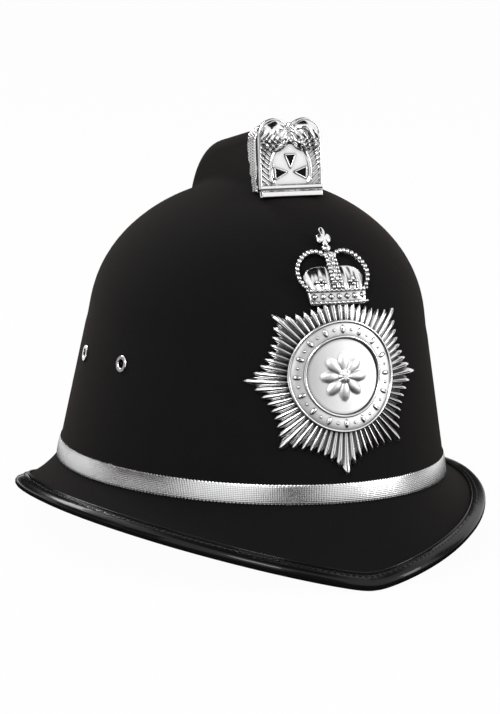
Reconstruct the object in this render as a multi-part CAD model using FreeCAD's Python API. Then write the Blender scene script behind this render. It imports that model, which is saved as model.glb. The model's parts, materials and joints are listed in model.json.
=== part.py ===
import FreeCAD, Part
import math
import os
from FreeCAD import Vector

# Custodian police helmet: a moulded shell under black cloth, with a raised comb along the top,
# a peaked brim with a bound edge, a silver hat band, a star-shaped front plate with a crown,
# a plated mount on the front of the comb, and the headband, cradle and chin strap inside.
# Millimetres. +Z is up, the front faces -Y and the wearer's left is +X. The helmet stands on the
# front and rear peaks of its brim, and the origin is under the middle of its bounding box.

# Crown
band_base = 38.7             # lower edge of the hat band above the ground
ribbon_width = 10.8          # height of the hat band
crown_half_width = 99.0      # at the upper edge of the hat band, over the cloth
crown_half_length = 121.0    # the same, front to back
crown_centre_y = 3.2         # middle of the head oval at the upper edge of the hat band
crown_taper = 0.171          # loss of half width for each millimetre of height
crown_lean = -0.069          # forward shift of the oval for each millimetre of height
shoulder_level = 126.2       # where the straight wall ends and the round top begins
crown_top = 193.3            # top of the round part, inside the comb
crown_roundness = 2.28       # exponent of the round top: 2 is an ellipse
shoulder_overlap = 14.0      # how far the smooth top reaches down the straight wall
oval_points = 16             # points of each oval round the crown
round_steps = 9              # ovals from the shoulder to the top

# Brim
brim_half_width = 124.0
brim_half_length = 153.6
brim_widest_y = 1.6          # where the brim is widest
side_rise = 25.4             # height of the brim's edge at the sides
front_peak_roundness = 0.06  # share of the half width over which the front peak is rounded
front_outline = 1.80         # exponent of the outline in front: below 2 is pointed
rear_rise_power = 2.2        # how late the rear edge curves up
brim_hollow = 2.0            # how far the brim sags below the straight line from band to edge
peak_crowding = 1.6          # how much closer the rim's points lie at the front peak
half_steps = 14              # rim points from the front peak to the rear one

# Layers of the wall, from the outside in
cloth_thickness = 1.2
shell_thickness = 3.0
brim_thickness = 2.0         # of the shell where it forms the brim
lining_thickness = 0.8
ribbon_thickness = 0.8
binding_thickness = 1.0
binding_leg = 6.5            # reach of the binding from its round nose over the brim
brim_root_reach = 8.0        # how far the brim's layers run into the wall before it is hollowed
brim_fill = 16.0             # depth to which the brim is filled before it is hollowed
brim_cut = 22.0              # depth to which the space under a layer is cut away
brim_cut_edge = -6.0         # inset of the cut, which runs out past the brim's edge

# Comb
comb_half_width = 16.6
comb_front_y = -41.6         # front face of the comb at its foot
comb_front_foot = 191.0      # height of that point
comb_front_lean = 0.11       # backward lean of the front face
comb_top = 225.2             # height of the comb at its front corner
comb_slope = 12.7            # degrees that the ridge falls towards the rear
comb_bend_y = 22.0           # where the ridge starts to curve down
comb_bend_radius = 46.0
comb_edge_radius = 8.0
comb_flare = 5.0             # radius of the soft foot of the comb

# Front plate
plate_level = 103.3          # height of the middle of the star
star_radius = 47.5           # to the tips of the main points
star_valley = 40.0           # to the tips of the shortest rays
star_notch = 3.6             # depth of the notches between rays
star_rays = 64
plate_gap = 0.3              # between the cloth and the back of the plate
plate_thickness = 1.3
ring_outer_radius = 28.5
ring_inner_radius = 19.3
ring_height = 1.8
rim_width = 1.1              # of the two raised rims of the ring
rim_height = 0.6
boss_height = 1.0
rosette_radius = 6.0
rosette_height = 1.6
crown_plate_base = 139.0     # height of the foot of the crown on the plate
crown_plate_half_width = 15.0
crown_plate_height = 27.0    # from the foot to the top of the arches
crown_overlap = 4.5          # how far the star's upper rays reach behind the crown's band
crown_arch_half_width = 19.0
crown_band_height = 7.0
crown_arch_width = 3.0
crown_stalk = 3.0            # how far the middle arch rises over the outer ones
finial_radius = 2.2
finial_tip_radius = 1.3
lug_spacing = 36.0           # between the two lugs of the plate
lug_radius = 1.6
lug_length = 12.5
lug_washer_radius = 6.5
lug_washer_thickness = 1.6
lug_washer_gap = 0.42        # so that the flat washer clears the hollow wall at its rim
split_pin_radius = 0.6
split_pin_length = 11.0
split_pin_eye = 1.6          # radius of the flat eye at its end

# Mount on the comb
mount_wall = 1.4
mount_height = 37.6          # from its foot to the top of its lobes
mount_half_width = 17.6
mount_plate_thickness = 3.0
mount_lobe_radius = 8.9
mount_lobe_height = 3.4
mount_reach_top = 11.0       # how far its sides run back over the comb, at the top
mount_reach_foot = 3.0
mount_pierce_size = 7.0      # length of the three triangular piercings
mount_roll_radius = 1.7      # rolled lower edge
mount_stud_radius = 1.5
mount_stud_length = 10.0
mount_stud_heights = (9.0, 21.5)
mount_nut_radius = 3.4
mount_nut_thickness = 2.4

# Vent eyelets
eyelet_positions = ((21.2, 99.7), (-27.0, 101.4))
eyelet_flange_radius = 4.5
eyelet_flange = 0.9
eyelet_hole_radius = 2.3
eyelet_barrel_radius = 3.0
eyelet_washer_radius = 5.6
eyelet_washer_thickness = 0.8

# Headband and cradle
headband_depth = 9.8         # from the face of the cloth to the outside of the headband
headband_thickness = 1.5
headband_base = 44.2
headband_top = 74.0
sweatband_thickness = 1.2
spacer_count = 6
spacer_width = 24.0
spacer_base = 57.5
spacer_top = 71.0
tape_count = 6
tape_width = 18.0
tape_thickness = 0.9
tape_foot = 55.0
tape_peak = 150.0            # height of the cradle at its middle
tape_end_radius = 15.0       # how near the middle the tapes end
crown_disc_radius = 29.0
crown_disc_thickness = 1.6
crown_disc_gap = 1.1         # over the tapes, which are straight between their curved edges
crown_disc_neck = 10.0       # radius of its middle, which reaches down to the pad
pad_radius = 31.0
pad_thickness = 8.0
pad_gap = 0.3
rivet_radius = 1.6
rivet_head_radius = 3.2
rivet_head_thickness = 0.8

# Chin strap
strap_level = 26.0           # height of the strap's pivots
strap_half_span = 87.5       # from the middle of the helmet to the middle of the strap's arms
strap_width = 14.0
strap_thickness = 1.8
strap_arm_end_y = 47.0       # where the arms start to curve round
strap_corner_radius = 47.0
strap_corner_turn = 60.0     # degrees
pivot_radius = 2.5
pivot_clearance = 0.06
pivot_root = 2.0             # length of the pivot's end in its anchor
pivot_head_radius = 4.6
pivot_head_thickness = 1.4
side_clearance = 0.3
seat_gap = 0.05              # between faces that lie on each other
drill_reach = 10.0           # of the cutters for holes, to each side of the cloth's face
anchor_width = 14.0
anchor_depth = 8.2           # from the face of the cloth to the inner side of the anchor
anchor_base = 19.0
anchor_top = 56.0
anchor_rivet_level = 44.0
anchor_rivet_radius = 2.2
short_strap_thickness = 1.6
buckle_bar_y = 38.0
buckle_bar_radius = 1.1
buckle_length = 12.0         # from the heel bar to the far bar
buckle_rail = 1.8            # thickness of the buckle's side rails and far bar
prong_width = 2.4
prong_thickness = 1.5
prong_slot_length = 10.4     # lets the prong swing through the strap
prong_slot_back = 5.4        # part of the slot that lies behind the heel bar
keeper_y = 21.0
keeper_width = 5.0
keeper_wall = 1.0
keeper_clearance = 0.15
tail_end_y = 13.0

# Derived sizes
band_top = band_base + ribbon_width
crown_stretch = crown_half_length / crown_half_width
wall_depth = cloth_thickness + shell_thickness
brim_depth = cloth_thickness + brim_thickness
core_thickness = brim_depth + lining_thickness
nose_radius = core_thickness / 2 + binding_thickness
lowest = -30.0               # below every piece, for forms that only cut
crown_foot = band_base - 2.5
pivot_y = crown_centre_y + crown_lean * (strap_level - band_top)
MAIN_POINTS = 8


def straight_half_width(z):
    """Half width of the tapering wall at a height."""
    return crown_half_width - crown_taper * (z - band_top)


def crown_half_width_at(z):
    """Half width of the cloth surface at a height."""
    if z <= shoulder_level:
        return straight_half_width(z)
    rise = (z - shoulder_level) / (crown_top - shoulder_level)
    return straight_half_width(z) * math.sqrt(max(0.0, 1 - rise ** crown_roundness))


def wall_slope(z):
    """Loss of half width for each millimetre of height, on the straight wall or the round top."""
    return (crown_half_width_at(z - 0.01) - crown_half_width_at(z + 0.01)) / 0.02


def round_profile(depth):
    """Half widths and heights of the round top, moved inwards by depth along its normal."""
    def point(turn):
        rise = math.sin(turn) ** (2 / crown_roundness)
        z = shoulder_level + (crown_top - shoulder_level) * rise
        return straight_half_width(z) * math.cos(turn), z
    points = []
    for step in range(1, round_steps):
        turn = math.radians(90 * step / round_steps)
        before = point(turn - 0.001)
        after = point(turn + 0.001)
        along = Vector(after[0] - before[0], 0, after[1] - before[1]).normalize()
        x, z = point(turn)
        points.append(Vector(x - along.z * depth, 0, z + along.x * depth))
    return points


def wall_point(z, depth):
    """Point of the straight wall's half section, moved inwards by depth along its normal."""
    slant = math.hypot(1, crown_taper)
    return Vector(straight_half_width(z) - depth * slant, 0, z)


def to_oval(shape):
    """Stretches a round form about the Z axis to the head's oval, and leans it forward."""
    matrix = FreeCAD.Matrix()
    matrix.A22 = crown_stretch
    matrix.A23 = crown_lean
    matrix.A24 = crown_centre_y - crown_lean * band_top
    return shape.transformGeometry(matrix)


def revolved(points):
    """Solid of revolution about Z from the corners of a closed half section."""
    wire = Part.makePolygon(points + [points[0]])
    return Part.Face(wire).revolve(Vector(0, 0, 0), Vector(0, 0, 1), 360)


def oval_wire(half_width, z):
    """Closed curve round the crown at a height."""
    centre = crown_centre_y + crown_lean * (z - band_top)
    points = []
    for step in range(oval_points):
        angle = 2 * math.pi * step / oval_points - math.pi / 2
        y = centre + crown_stretch * half_width * math.sin(angle)
        points.append(Vector(half_width * math.cos(angle), y, z))
    curve = Part.BSplineCurve()
    marks = [float(step) for step in range(oval_points + 1)]
    curve.interpolate(Points=points, PeriodicFlag=True, Parameters=marks)
    return Part.Wire(curve.toShape())


def sewn_solid(faces):
    """Solid inside faces that meet edge to edge."""
    shell = Part.makeShell(faces)
    shell.sewShape(0.02)
    solid = Part.makeSolid(shell)
    if solid.Volume < 0:
        solid.reverse()
    return solid


def crown_solid(depth, base):
    """The whole crown, filled, at a depth under the cloth's face. Its small flat top is in the comb."""
    foot = wall_point(base, depth)
    knee = wall_point(shoulder_level - shoulder_overlap, depth)
    shoulder = wall_point(shoulder_level, depth)
    wires = [oval_wire(point.x, point.z) for point in [knee, shoulder] + round_profile(depth)]
    foot_wire = oval_wire(foot.x, foot.z)
    faces = Part.makeLoft([foot_wire, wires[0]], False, True).Faces
    faces += Part.makeLoft(wires, False, False).Faces
    faces.append(Part.Face(foot_wire))
    faces.append(Part.Face(wires[-1]))
    return sewn_solid(faces)


def wall_ring(outer_depth, inner_depth, base, top):
    """A closed hoop that lies between two depths of the straight wall."""
    return to_oval(revolved([
        wall_point(base, inner_depth),
        wall_point(base, outer_depth),
        wall_point(top, outer_depth),
        wall_point(top, inner_depth),
    ]))


def comb_solid(depth):
    """The comb, filled, at a depth under the cloth's face. Its foot is inside the crown."""
    fall = math.radians(comb_slope)
    front_lean = Vector(0, comb_front_lean, 1).normalize()
    inward = Vector(0, front_lean.z, -front_lean.y)
    front_foot = Vector(0, comb_front_y, comb_front_foot) + inward * depth
    ridge_y = comb_front_y + comb_front_lean * (comb_top - comb_front_foot)
    bend_z = comb_top - (comb_bend_y - ridge_y) * math.tan(fall)
    down = Vector(0, -math.sin(fall), -math.cos(fall))
    bend_start = Vector(0, comb_bend_y, bend_z) + down * depth
    centre = Vector(0, comb_bend_y, bend_z) + down * comb_bend_radius
    radius = comb_bend_radius - depth
    back = centre + Vector(0, radius, 0)
    middle_turn = math.radians((90 - comb_slope) / 2)
    middle = centre + Vector(0, radius * math.cos(middle_turn), radius * math.sin(middle_turn))
    back_foot = Vector(0, back.y, comb_bend_radius + 100)
    low_front = front_foot + front_lean * ((back_foot.z - front_foot.z) / front_lean.z)
    reach = (bend_start.z + (bend_start.y - front_foot.y) * math.tan(fall) - front_foot.z)
    corner = front_foot + front_lean * (reach / (front_lean.z + front_lean.y * math.tan(fall)))
    edges = [
        Part.makeLine(low_front, corner),
        Part.makeLine(corner, bend_start),
        Part.Arc(bend_start, middle, back).toShape(),
        Part.makeLine(back, back_foot),
        Part.makeLine(back_foot, low_front),
    ]
    half_width = comb_half_width - depth
    face = Part.Face(Part.Wire(edges))
    face.translate(Vector(-half_width, 0, 0))
    solid = face.extrude(Vector(2 * half_width, 0, 0))
    picked = []
    for edge in solid.Edges:
        box = edge.BoundBox
        along_side = box.XLength < 0.01 and box.ZMax > front_foot.z
        if along_side and edge.CenterOfMass.z > back_foot.z + 1:
            picked.append(edge)
        elif box.XLength > 1 and box.ZMin > comb_top - 3 - depth * 2:
            picked.append(edge)
    return solid.makeFillet(comb_edge_radius - depth, picked)


def signed_power(value, exponent):
    """Keeps the sign of a cosine or sine while its size is raised to a power."""
    return math.copysign(abs(value) ** (2 / exponent), value)


def rim_point(angle):
    """Outer edge of the bound brim: rounded oval behind, pointed oval in front."""
    front = math.sin(angle) < 0
    exponent = front_outline if front else 2.0
    reach = brim_half_length + brim_widest_y if front else brim_half_length - brim_widest_y
    across = signed_power(math.cos(angle), exponent)
    y = brim_widest_y + reach * signed_power(math.sin(angle), exponent)
    if front:
        soft = front_peak_roundness
        rise = (math.hypot(across, soft) - soft) / (math.hypot(1, soft) - soft)
    else:
        rise = abs(across) ** rear_rise_power
    return Vector(brim_half_width * across, y, side_rise * rise)


def root_point(angle):
    """Where the brim leaves the crown, just under the hat band."""
    z = band_base - cloth_thickness / 2
    half_width = straight_half_width(z)
    centre = crown_centre_y + crown_lean * (z - band_top)
    return Vector(half_width * math.cos(angle), centre + crown_stretch * half_width * math.sin(angle), z)


def brim_frame(angle):
    """Nose centre, outward slope and upward normal of the brim at an angle round the rim."""
    root = root_point(angle)
    rim = rim_point(angle)
    outward = Vector(rim.x - root.x, rim.y - root.y, 0).normalize()
    nose = rim - outward * nose_radius + Vector(0, 0, nose_radius)
    slope = (nose - root).normalize()
    level = math.hypot(slope.x, slope.y)
    normal = outward * -slope.z + Vector(0, 0, level)
    along = outward * level + Vector(0, 0, slope.z)
    return root, nose, along, normal


def brim_point(angle, inset, depth):
    """Point of the brim, inset from its edge along the slope and below the cloth's face."""
    root, nose, along, normal = brim_frame(angle)
    edge = nose + normal * (core_thickness / 2)
    run = edge - root
    share = 1 - inset / run.Length
    hollow = brim_hollow * 4 * share * (1 - share)
    return root + run * share - normal * (hollow + depth)


def inset_of_root(angle, extra):
    """Inset that reaches the root of the brim, plus some millimetres into the crown."""
    root, nose, along, normal = brim_frame(angle)
    return (nose + normal * (core_thickness / 2) - root).Length + extra


def rim_angles():
    """Angles round the rim from the front peak and back to it, closest together at the peak."""
    steps = [(step / half_steps) ** peak_crowding for step in range(half_steps + 1)]
    left = [math.radians(-90 + 180 * share) for share in steps]
    right = [math.pi - angle for angle in reversed(left[1:-1])]
    return left + right


def rim_parameters(angles):
    """Arc length of the rim up to each angle, shared by all curves so that they match."""
    points = [rim_point(angle) for angle in angles]
    lengths = [0.0]
    for first, second in zip(points, points[1:] + points[:1]):
        lengths.append(lengths[-1] + (second - first).Length)
    return lengths


ANGLES = rim_angles()
PARAMETERS = rim_parameters(ANGLES)


def ring_wire(point_at):
    """Closed smooth curve round the brim through one point for each angle."""
    curve = Part.BSplineCurve()
    points = [point_at(angle) for angle in ANGLES]
    curve.interpolate(Points=points, PeriodicFlag=True, Parameters=PARAMETERS)
    return Part.Wire(curve.toShape())


def ring_solid(strips):
    """Solid ring round the brim, closed by strips that each run through two or more wires."""
    faces = []
    for wires in strips:
        faces += Part.makeLoft(wires, False, len(wires) == 2).Faces
    return sewn_solid(faces)


def brim_layer(upper, lower, root_extra, edge_inset):
    """Layer of the brim between two depths, from inside the crown to the edge."""
    def wire(share, depth):
        def point_at(angle):
            inner = inset_of_root(angle, root_extra)
            return brim_point(angle, inner + (edge_inset - inner) * share, depth)
        return ring_wire(point_at)
    shares = (0.0, 0.5, 1.0)
    top = [wire(share, upper) for share in shares]
    bottom = [wire(share, lower) for share in shares]
    return ring_solid([top, [top[-1], bottom[-1]], bottom, [bottom[0], top[0]]])


def filleted_foot(solid, crown, radius):
    """Rounds the seam where the comb grows out of the crown."""
    face = max(crown.Faces, key=lambda item: item.BoundBox.ZMax)
    picked = []
    for edge in solid.Edges:
        middle = edge.valueAt((edge.FirstParameter + edge.LastParameter) / 2)
        start = edge.valueAt(edge.FirstParameter)
        near = all(face.distToShape(Part.Vertex(point))[0] < 0.02 for point in (middle, start))
        if near and abs(middle.x) <= comb_half_width + 0.1 and abs(start.x) <= comb_half_width + 0.1:
            if middle.z > shoulder_level + 10:
                picked.append(edge)
    return solid.makeFillet(radius, picked)


def crown_with_comb(depth, base, flared=True):
    """Crown and comb as one filled form at a depth."""
    crown = crown_solid(depth, base)
    joined = crown.fuse(comb_solid(depth))
    if not flared:
        return joined
    return filleted_foot(joined, crown, comb_flare + depth)


def surface_frame(y, z, side, depth=0.0):
    """Point of the wall at a height and a distance along Y, with its outward normal."""
    centre = crown_centre_y + crown_lean * (z - band_top)
    half_width = crown_half_width_at(z)
    sine = (y - centre) / (half_width * crown_stretch)
    cosine = side * math.sqrt(1 - sine * sine)
    plan = Vector(cosine, sine / crown_stretch, 0)
    rise = wall_slope(z) - crown_lean * plan.y
    normal = Vector(plan.x, plan.y, rise).normalize()
    point = Vector(half_width * cosine, y, z) - normal * depth
    return point, normal


def front_frame(x, z, depth=0.0):
    """Point of the front of the crown at a height and a distance across, with its normal."""
    centre = crown_centre_y + crown_lean * (z - band_top)
    half_width = crown_half_width_at(z)
    cosine = x / half_width
    sine = -math.sqrt(1 - cosine * cosine)
    plan = Vector(cosine, sine / crown_stretch, 0)
    rise = wall_slope(z) - crown_lean * plan.y
    normal = Vector(plan.x, plan.y, rise).normalize()
    point = Vector(x, centre + half_width * crown_stretch * sine, z) - normal * depth
    return point, normal


def front_spread(x, z):
    """How much thicker each layer of the wall is at the front, where the oval is longest."""
    cosine = x / crown_half_width_at(z)
    plan = Vector(cosine, -math.sqrt(1 - cosine * cosine) / crown_stretch, 0)
    rise = wall_slope(z) - crown_lean * plan.y
    return math.hypot(1, crown_taper) / Vector(plan.x, plan.y, rise).Length


def stood_on(shape, point, normal):
    """Turns a shape whose axis is +Z to a normal and moves it to a point."""
    placed = shape.copy()
    frame = FreeCAD.Placement(point, FreeCAD.Rotation(Vector(0, 0, 1), normal))
    placed.Placement = frame.multiply(shape.Placement)
    return placed


def turned(sections):
    """Turned piece about Z from (bottom, top, inner radius, outer radius) sections."""
    pieces = []
    for bottom, top, inner, outer in sections:
        piece = Part.makeCylinder(outer, top - bottom, Vector(0, 0, bottom))
        if inner > 0:
            piece = piece.cut(Part.makeCylinder(inner, top - bottom, Vector(0, 0, bottom)))
        pieces.append(piece)
    solid = pieces[0]
    for piece in pieces[1:]:
        solid = solid.fuse(piece)
    return solid.removeSplitter()


def eyelet_frames(side):
    """Frames of the two vents on one side."""
    return [surface_frame(y, z, side) for y, z in eyelet_positions]


def vent_eyelets(side):
    """Flanged eyelets with a turned-over inner end, pressed through the wall."""
    inner_end = wall_depth + eyelet_washer_thickness + 0.3
    eyelet = turned([
        (-inner_end, eyelet_flange * 0.5, eyelet_hole_radius, eyelet_barrel_radius),
        (0.0, eyelet_flange, eyelet_hole_radius, eyelet_flange_radius),
        (-inner_end - 0.6, -inner_end, eyelet_hole_radius, eyelet_barrel_radius + 1.2),
    ])
    rounded = [edge for edge in eyelet.Edges if abs(edge.BoundBox.ZMin - eyelet_flange) < 0.001]
    eyelet = eyelet.makeChamfer(eyelet_flange * 0.35, rounded)
    return Part.makeCompound([stood_on(eyelet, point, normal) for point, normal in eyelet_frames(side)])


def eyelet_washers(side):
    """Flat washers under the eyelets' inner ends."""
    seat = wall_depth + 0.25
    washer = turned([
        (-seat - eyelet_washer_thickness, -seat, eyelet_barrel_radius, eyelet_washer_radius),
    ])
    return Part.makeCompound([stood_on(washer, point, normal) for point, normal in eyelet_frames(side)])


def lug_frames():
    """Where the plate's two lugs pass through the wall."""
    return [front_frame(side * lug_spacing / 2, plate_level) for side in (-1, 1)]


def mount_frame():
    """Foot of the comb's front face: its place, its way up and its outward normal."""
    up = Vector(0, comb_front_lean, 1).normalize()
    out = Vector(0, -up.z, up.y)
    return Vector(0, comb_front_y, comb_front_foot), up, out


def mount_stud_frames():
    """Where the mount's studs enter the comb."""
    foot, up, out = mount_frame()
    return [(foot + up * height, out) for height in mount_stud_heights]


def drill_of(radius):
    """Round cutter that stands across the wall, with its middle on the cloth's face."""
    return Part.makeCylinder(radius, 2 * drill_reach, Vector(0, 0, -drill_reach))


def wall_holes():
    """Holes through cloth and shell for the eyelets, the plate's lugs and the mount's studs."""
    holes = []
    for side in (-1, 1):
        for point, normal in eyelet_frames(side):
            holes.append(stood_on(drill_of(eyelet_barrel_radius), point, normal))
    for point, normal in lug_frames():
        holes.append(stood_on(drill_of(lug_radius), point, normal))
    for point, normal in mount_stud_frames():
        holes.append(stood_on(drill_of(mount_stud_radius), point, normal))
    return holes


def anchor_rivet_frames():
    """Rivets that hold the chin strap's anchors, behind the hat band."""
    centre = crown_centre_y + crown_lean * (anchor_rivet_level - band_top)
    return [surface_frame(centre, anchor_rivet_level, side) for side in (-1, 1)]


def strap_anchors():
    """Moulded blocks on the inside of the wall that carry the strap's pivots."""
    hoop = wall_ring(wall_depth + 2 * seat_gap, anchor_depth, anchor_base, anchor_top)
    anchors = []
    for side in (-1, 1):
        centre = crown_centre_y + crown_lean * (anchor_rivet_level - band_top)
        box = Part.makeBox(60, anchor_width, anchor_top - anchor_base)
        left = 60 if side > 0 else -120
        box.translate(Vector(left, centre - anchor_width / 2, anchor_base))
        block = hoop.common(box)
        point, normal = surface_frame(centre, anchor_rivet_level, side)
        drill = Part.makeCylinder(anchor_rivet_radius, 24, Vector(0, 0, -18))
        face = Vector(side * (anchor_face_x() - 1), pivot_y, strap_level)
        socket = Part.makeCylinder(pivot_radius + seat_gap / 2, pivot_root + 2, face, Vector(side, 0, 0))
        anchors.append(block.cut(stood_on(drill, point, normal)).cut(socket))
    return anchors


def anchor_rivet():
    """Rivet with a flush head in the shell and a round head on the anchor."""
    return turned([
        (-anchor_depth - 0.2, -cloth_thickness - 1.0, 0, anchor_rivet_radius),
        (-cloth_thickness - 1.0, -cloth_thickness - 0.1, 0, anchor_rivet_radius + 1.6),
        (-anchor_depth - 1.2, -anchor_depth - 0.05, 0, anchor_rivet_radius + 1.4),
    ])


def anchor_face_x():
    """Distance from the middle to the anchor's inner side at the strap's level."""
    return wall_point(strap_level, anchor_depth).x


def strap_pivot(side):
    """Shouldered pin on the anchor: a collar, the bearing neck and a head."""
    strap_thick = short_strap_thickness if side > 0 else strap_thickness
    strap_outer = arm_outer_x(side)
    strap_inner = strap_outer - strap_thick
    face = anchor_face_x()
    collar_end = face - crown_taper * pivot_head_radius - seat_gap
    sections = [
        (face - 1, face + pivot_root, pivot_radius),
        (strap_outer + side_clearance, collar_end, pivot_head_radius),
        (strap_inner - side_clearance, strap_outer + side_clearance, pivot_radius),
        (strap_inner - side_clearance - pivot_head_thickness, strap_inner - side_clearance,
         pivot_head_radius),
    ]
    pieces = []
    for near, far, radius in sections:
        centre = Vector(side * near, pivot_y, strap_level)
        pieces.append(Part.makeCylinder(radius, far - near, centre, Vector(side, 0, 0)))
    solid = pieces[0]
    for piece in pieces[1:]:
        solid = solid.fuse(piece)
    return solid.removeSplitter()


def arm_outer_x(side):
    """Outer face of the strap that turns on the pivot: the short strap lies inside the long one."""
    if side > 0:
        return strap_half_span - strap_thickness / 2
    return strap_half_span + strap_thickness / 2


def strap_path(offset):
    """Route of the chin strap in plan, moved outwards by an offset, from tail to right pivot."""
    x = strap_half_span + offset
    radius = strap_corner_radius + offset
    turn = math.radians(strap_corner_turn)
    middle_radius = (strap_half_span - strap_corner_radius * (1 - math.cos(turn))) / math.cos(turn)
    centre_x = strap_half_span - strap_corner_radius
    corner = Vector(centre_x, strap_arm_end_y, 0)
    end = corner + Vector(radius * math.cos(turn), radius * math.sin(turn), 0)
    half = corner + Vector(radius * math.cos(turn / 2), radius * math.sin(turn / 2), 0)
    centre_y = strap_arm_end_y + strap_corner_radius * math.sin(turn) - middle_radius * math.sin(turn)
    rear = Vector(0, centre_y + middle_radius + offset, 0)
    tail = Vector(x, tail_end_y, 0)
    arm_end = Vector(x, strap_arm_end_y, 0)

    def mirrored(point):
        return Vector(-point.x, point.y, 0)
    right_end = Vector(-x, pivot_y, 0)
    return [
        Part.makeLine(tail, arm_end),
        Part.Arc(arm_end, half, end).toShape(),
        Part.Arc(end, rear, mirrored(end)).toShape(),
        Part.Arc(mirrored(end), mirrored(half), mirrored(arm_end)).toShape(),
        Part.makeLine(mirrored(arm_end), right_end),
    ]


def strap_end(side, outer, thickness):
    """Round end of a strap about its pivot."""
    centre = Vector(side * (outer - thickness), pivot_y, strap_level)
    return Part.makeCylinder(strap_width / 2, thickness, centre, Vector(side, 0, 0))


def pivot_hole(side):
    """Hole for the pivot in a strap's end."""
    centre = Vector(side * 60, pivot_y, strap_level)
    return Part.makeCylinder(pivot_radius + pivot_clearance, 60, centre, Vector(side, 0, 0))


def chin_strap_long():
    """Long half of the chin strap, tucked round the rear of the head opening."""
    outer = strap_path(strap_thickness / 2)
    inner = strap_path(-strap_thickness / 2)
    tail = Part.makeLine(outer[0].Vertexes[0].Point, inner[0].Vertexes[0].Point)
    close = Part.makeLine(outer[-1].Vertexes[1].Point, inner[-1].Vertexes[1].Point)
    face = Part.Face(Part.Wire(Part.__sortEdges__(outer + inner + [tail, close])))
    face.translate(Vector(0, 0, strap_level - strap_width / 2))
    strap = face.extrude(Vector(0, 0, strap_width))
    strap = strap.fuse(strap_end(-1, arm_outer_x(-1), strap_thickness)).removeSplitter()
    strap = strap.cut(pivot_hole(-1))
    x = strap_half_span
    slot = Part.makeBox(10, prong_slot_length, prong_width + 0.6)
    slot.translate(Vector(x - 5, buckle_bar_y - prong_slot_back, strap_level - prong_width / 2 - 0.3))
    strap = strap.cut(slot)
    for step in range(1, 5):
        y = buckle_bar_y - 3.5 - 5.0 * step + 0.5
        if y > keeper_y + keeper_width / 2 + 3 or y < keeper_y - keeper_width / 2 - 1:
            hole = Part.makeCylinder(1.3, 10, Vector(x - 5, y, strap_level), Vector(1, 0, 0))
            strap = strap.cut(hole)
    return strap


def bar_x():
    """Distance from the middle to the axis of the buckle's heel bar."""
    strap_inner = strap_half_span - strap_thickness / 2
    return strap_inner - short_strap_thickness - buckle_bar_radius - 2 * seat_gap


def chin_strap_short():
    """Short half of the strap, folded round the buckle's heel bar, with a slot for the prong."""
    outer = arm_outer_x(1)
    inner = outer - short_strap_thickness
    low = strap_level - strap_width / 2
    fold_radius = buckle_bar_radius + seat_gap + short_strap_thickness
    ply = Part.makeBox(short_strap_thickness, buckle_bar_y - pivot_y, strap_width)
    ply.translate(Vector(inner, pivot_y, low))
    centre = Vector(bar_x(), buckle_bar_y, low)
    fold = Part.makeCylinder(fold_radius, strap_width, centre)
    half = Part.makeBox(20, 20, strap_width, Vector(centre.x - 10, buckle_bar_y, low))
    fold = fold.common(half)
    under_x = centre.x - fold_radius
    under = Part.makePolygon([
        Vector(under_x, buckle_bar_y, low),
        Vector(under_x + short_strap_thickness, buckle_bar_y, low),
        Vector(inner, buckle_bar_y - 7, low),
        Vector(inner, buckle_bar_y - 11, low),
        Vector(inner - short_strap_thickness, buckle_bar_y - 11, low),
        Vector(under_x, buckle_bar_y, low),
    ])
    flap = Part.Face(under).extrude(Vector(0, 0, strap_width))
    strap = ply.fuse(fold).fuse(flap).fuse(strap_end(1, outer, short_strap_thickness))
    bore = Part.makeCylinder(buckle_bar_radius + seat_gap, strap_width, centre)
    slot = Part.makeBox(12, 12, prong_width + 0.6)
    slot.translate(Vector(centre.x - 6, buckle_bar_y - 4, strap_level - prong_width / 2 - 0.3))
    return strap.cut(bore).cut(slot).cut(pivot_hole(1)).removeSplitter()


def strap_buckle():
    """Buckle frame: round heel bar, two side rails and a flat far bar over the strap."""
    half_inside = strap_width / 2 + 0.4
    low = strap_level - half_inside - buckle_rail
    height = 2 * (half_inside + buckle_rail)
    heel = Vector(bar_x(), buckle_bar_y, low)
    bar = Part.makeCylinder(buckle_bar_radius, height, heel)
    over = strap_half_span + strap_thickness / 2 + 0.1
    far_y = buckle_bar_y + buckle_length
    far = Part.makeBox(buckle_rail, buckle_rail + 0.6, height, Vector(over, far_y, low))
    rail_face = Part.Face(Part.makePolygon([
        Vector(heel.x - 1.4, buckle_bar_y - 1.6, low),
        Vector(heel.x + 1.4, buckle_bar_y - 1.9, low),
        Vector(over + buckle_rail, far_y, low),
        Vector(over + buckle_rail, far_y + buckle_rail + 0.6, low),
        Vector(over - 1.2, far_y + buckle_rail + 0.6, low),
        Vector(heel.x - 1.4, buckle_bar_y + 1.2, low),
        Vector(heel.x - 1.4, buckle_bar_y - 1.6, low),
    ]))
    rail = rail_face.extrude(Vector(0, 0, buckle_rail))
    other = rail.copy()
    other.translate(Vector(0, 0, height - buckle_rail))
    return bar.fuse(far).fuse(rail).fuse(other).removeSplitter()


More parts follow.
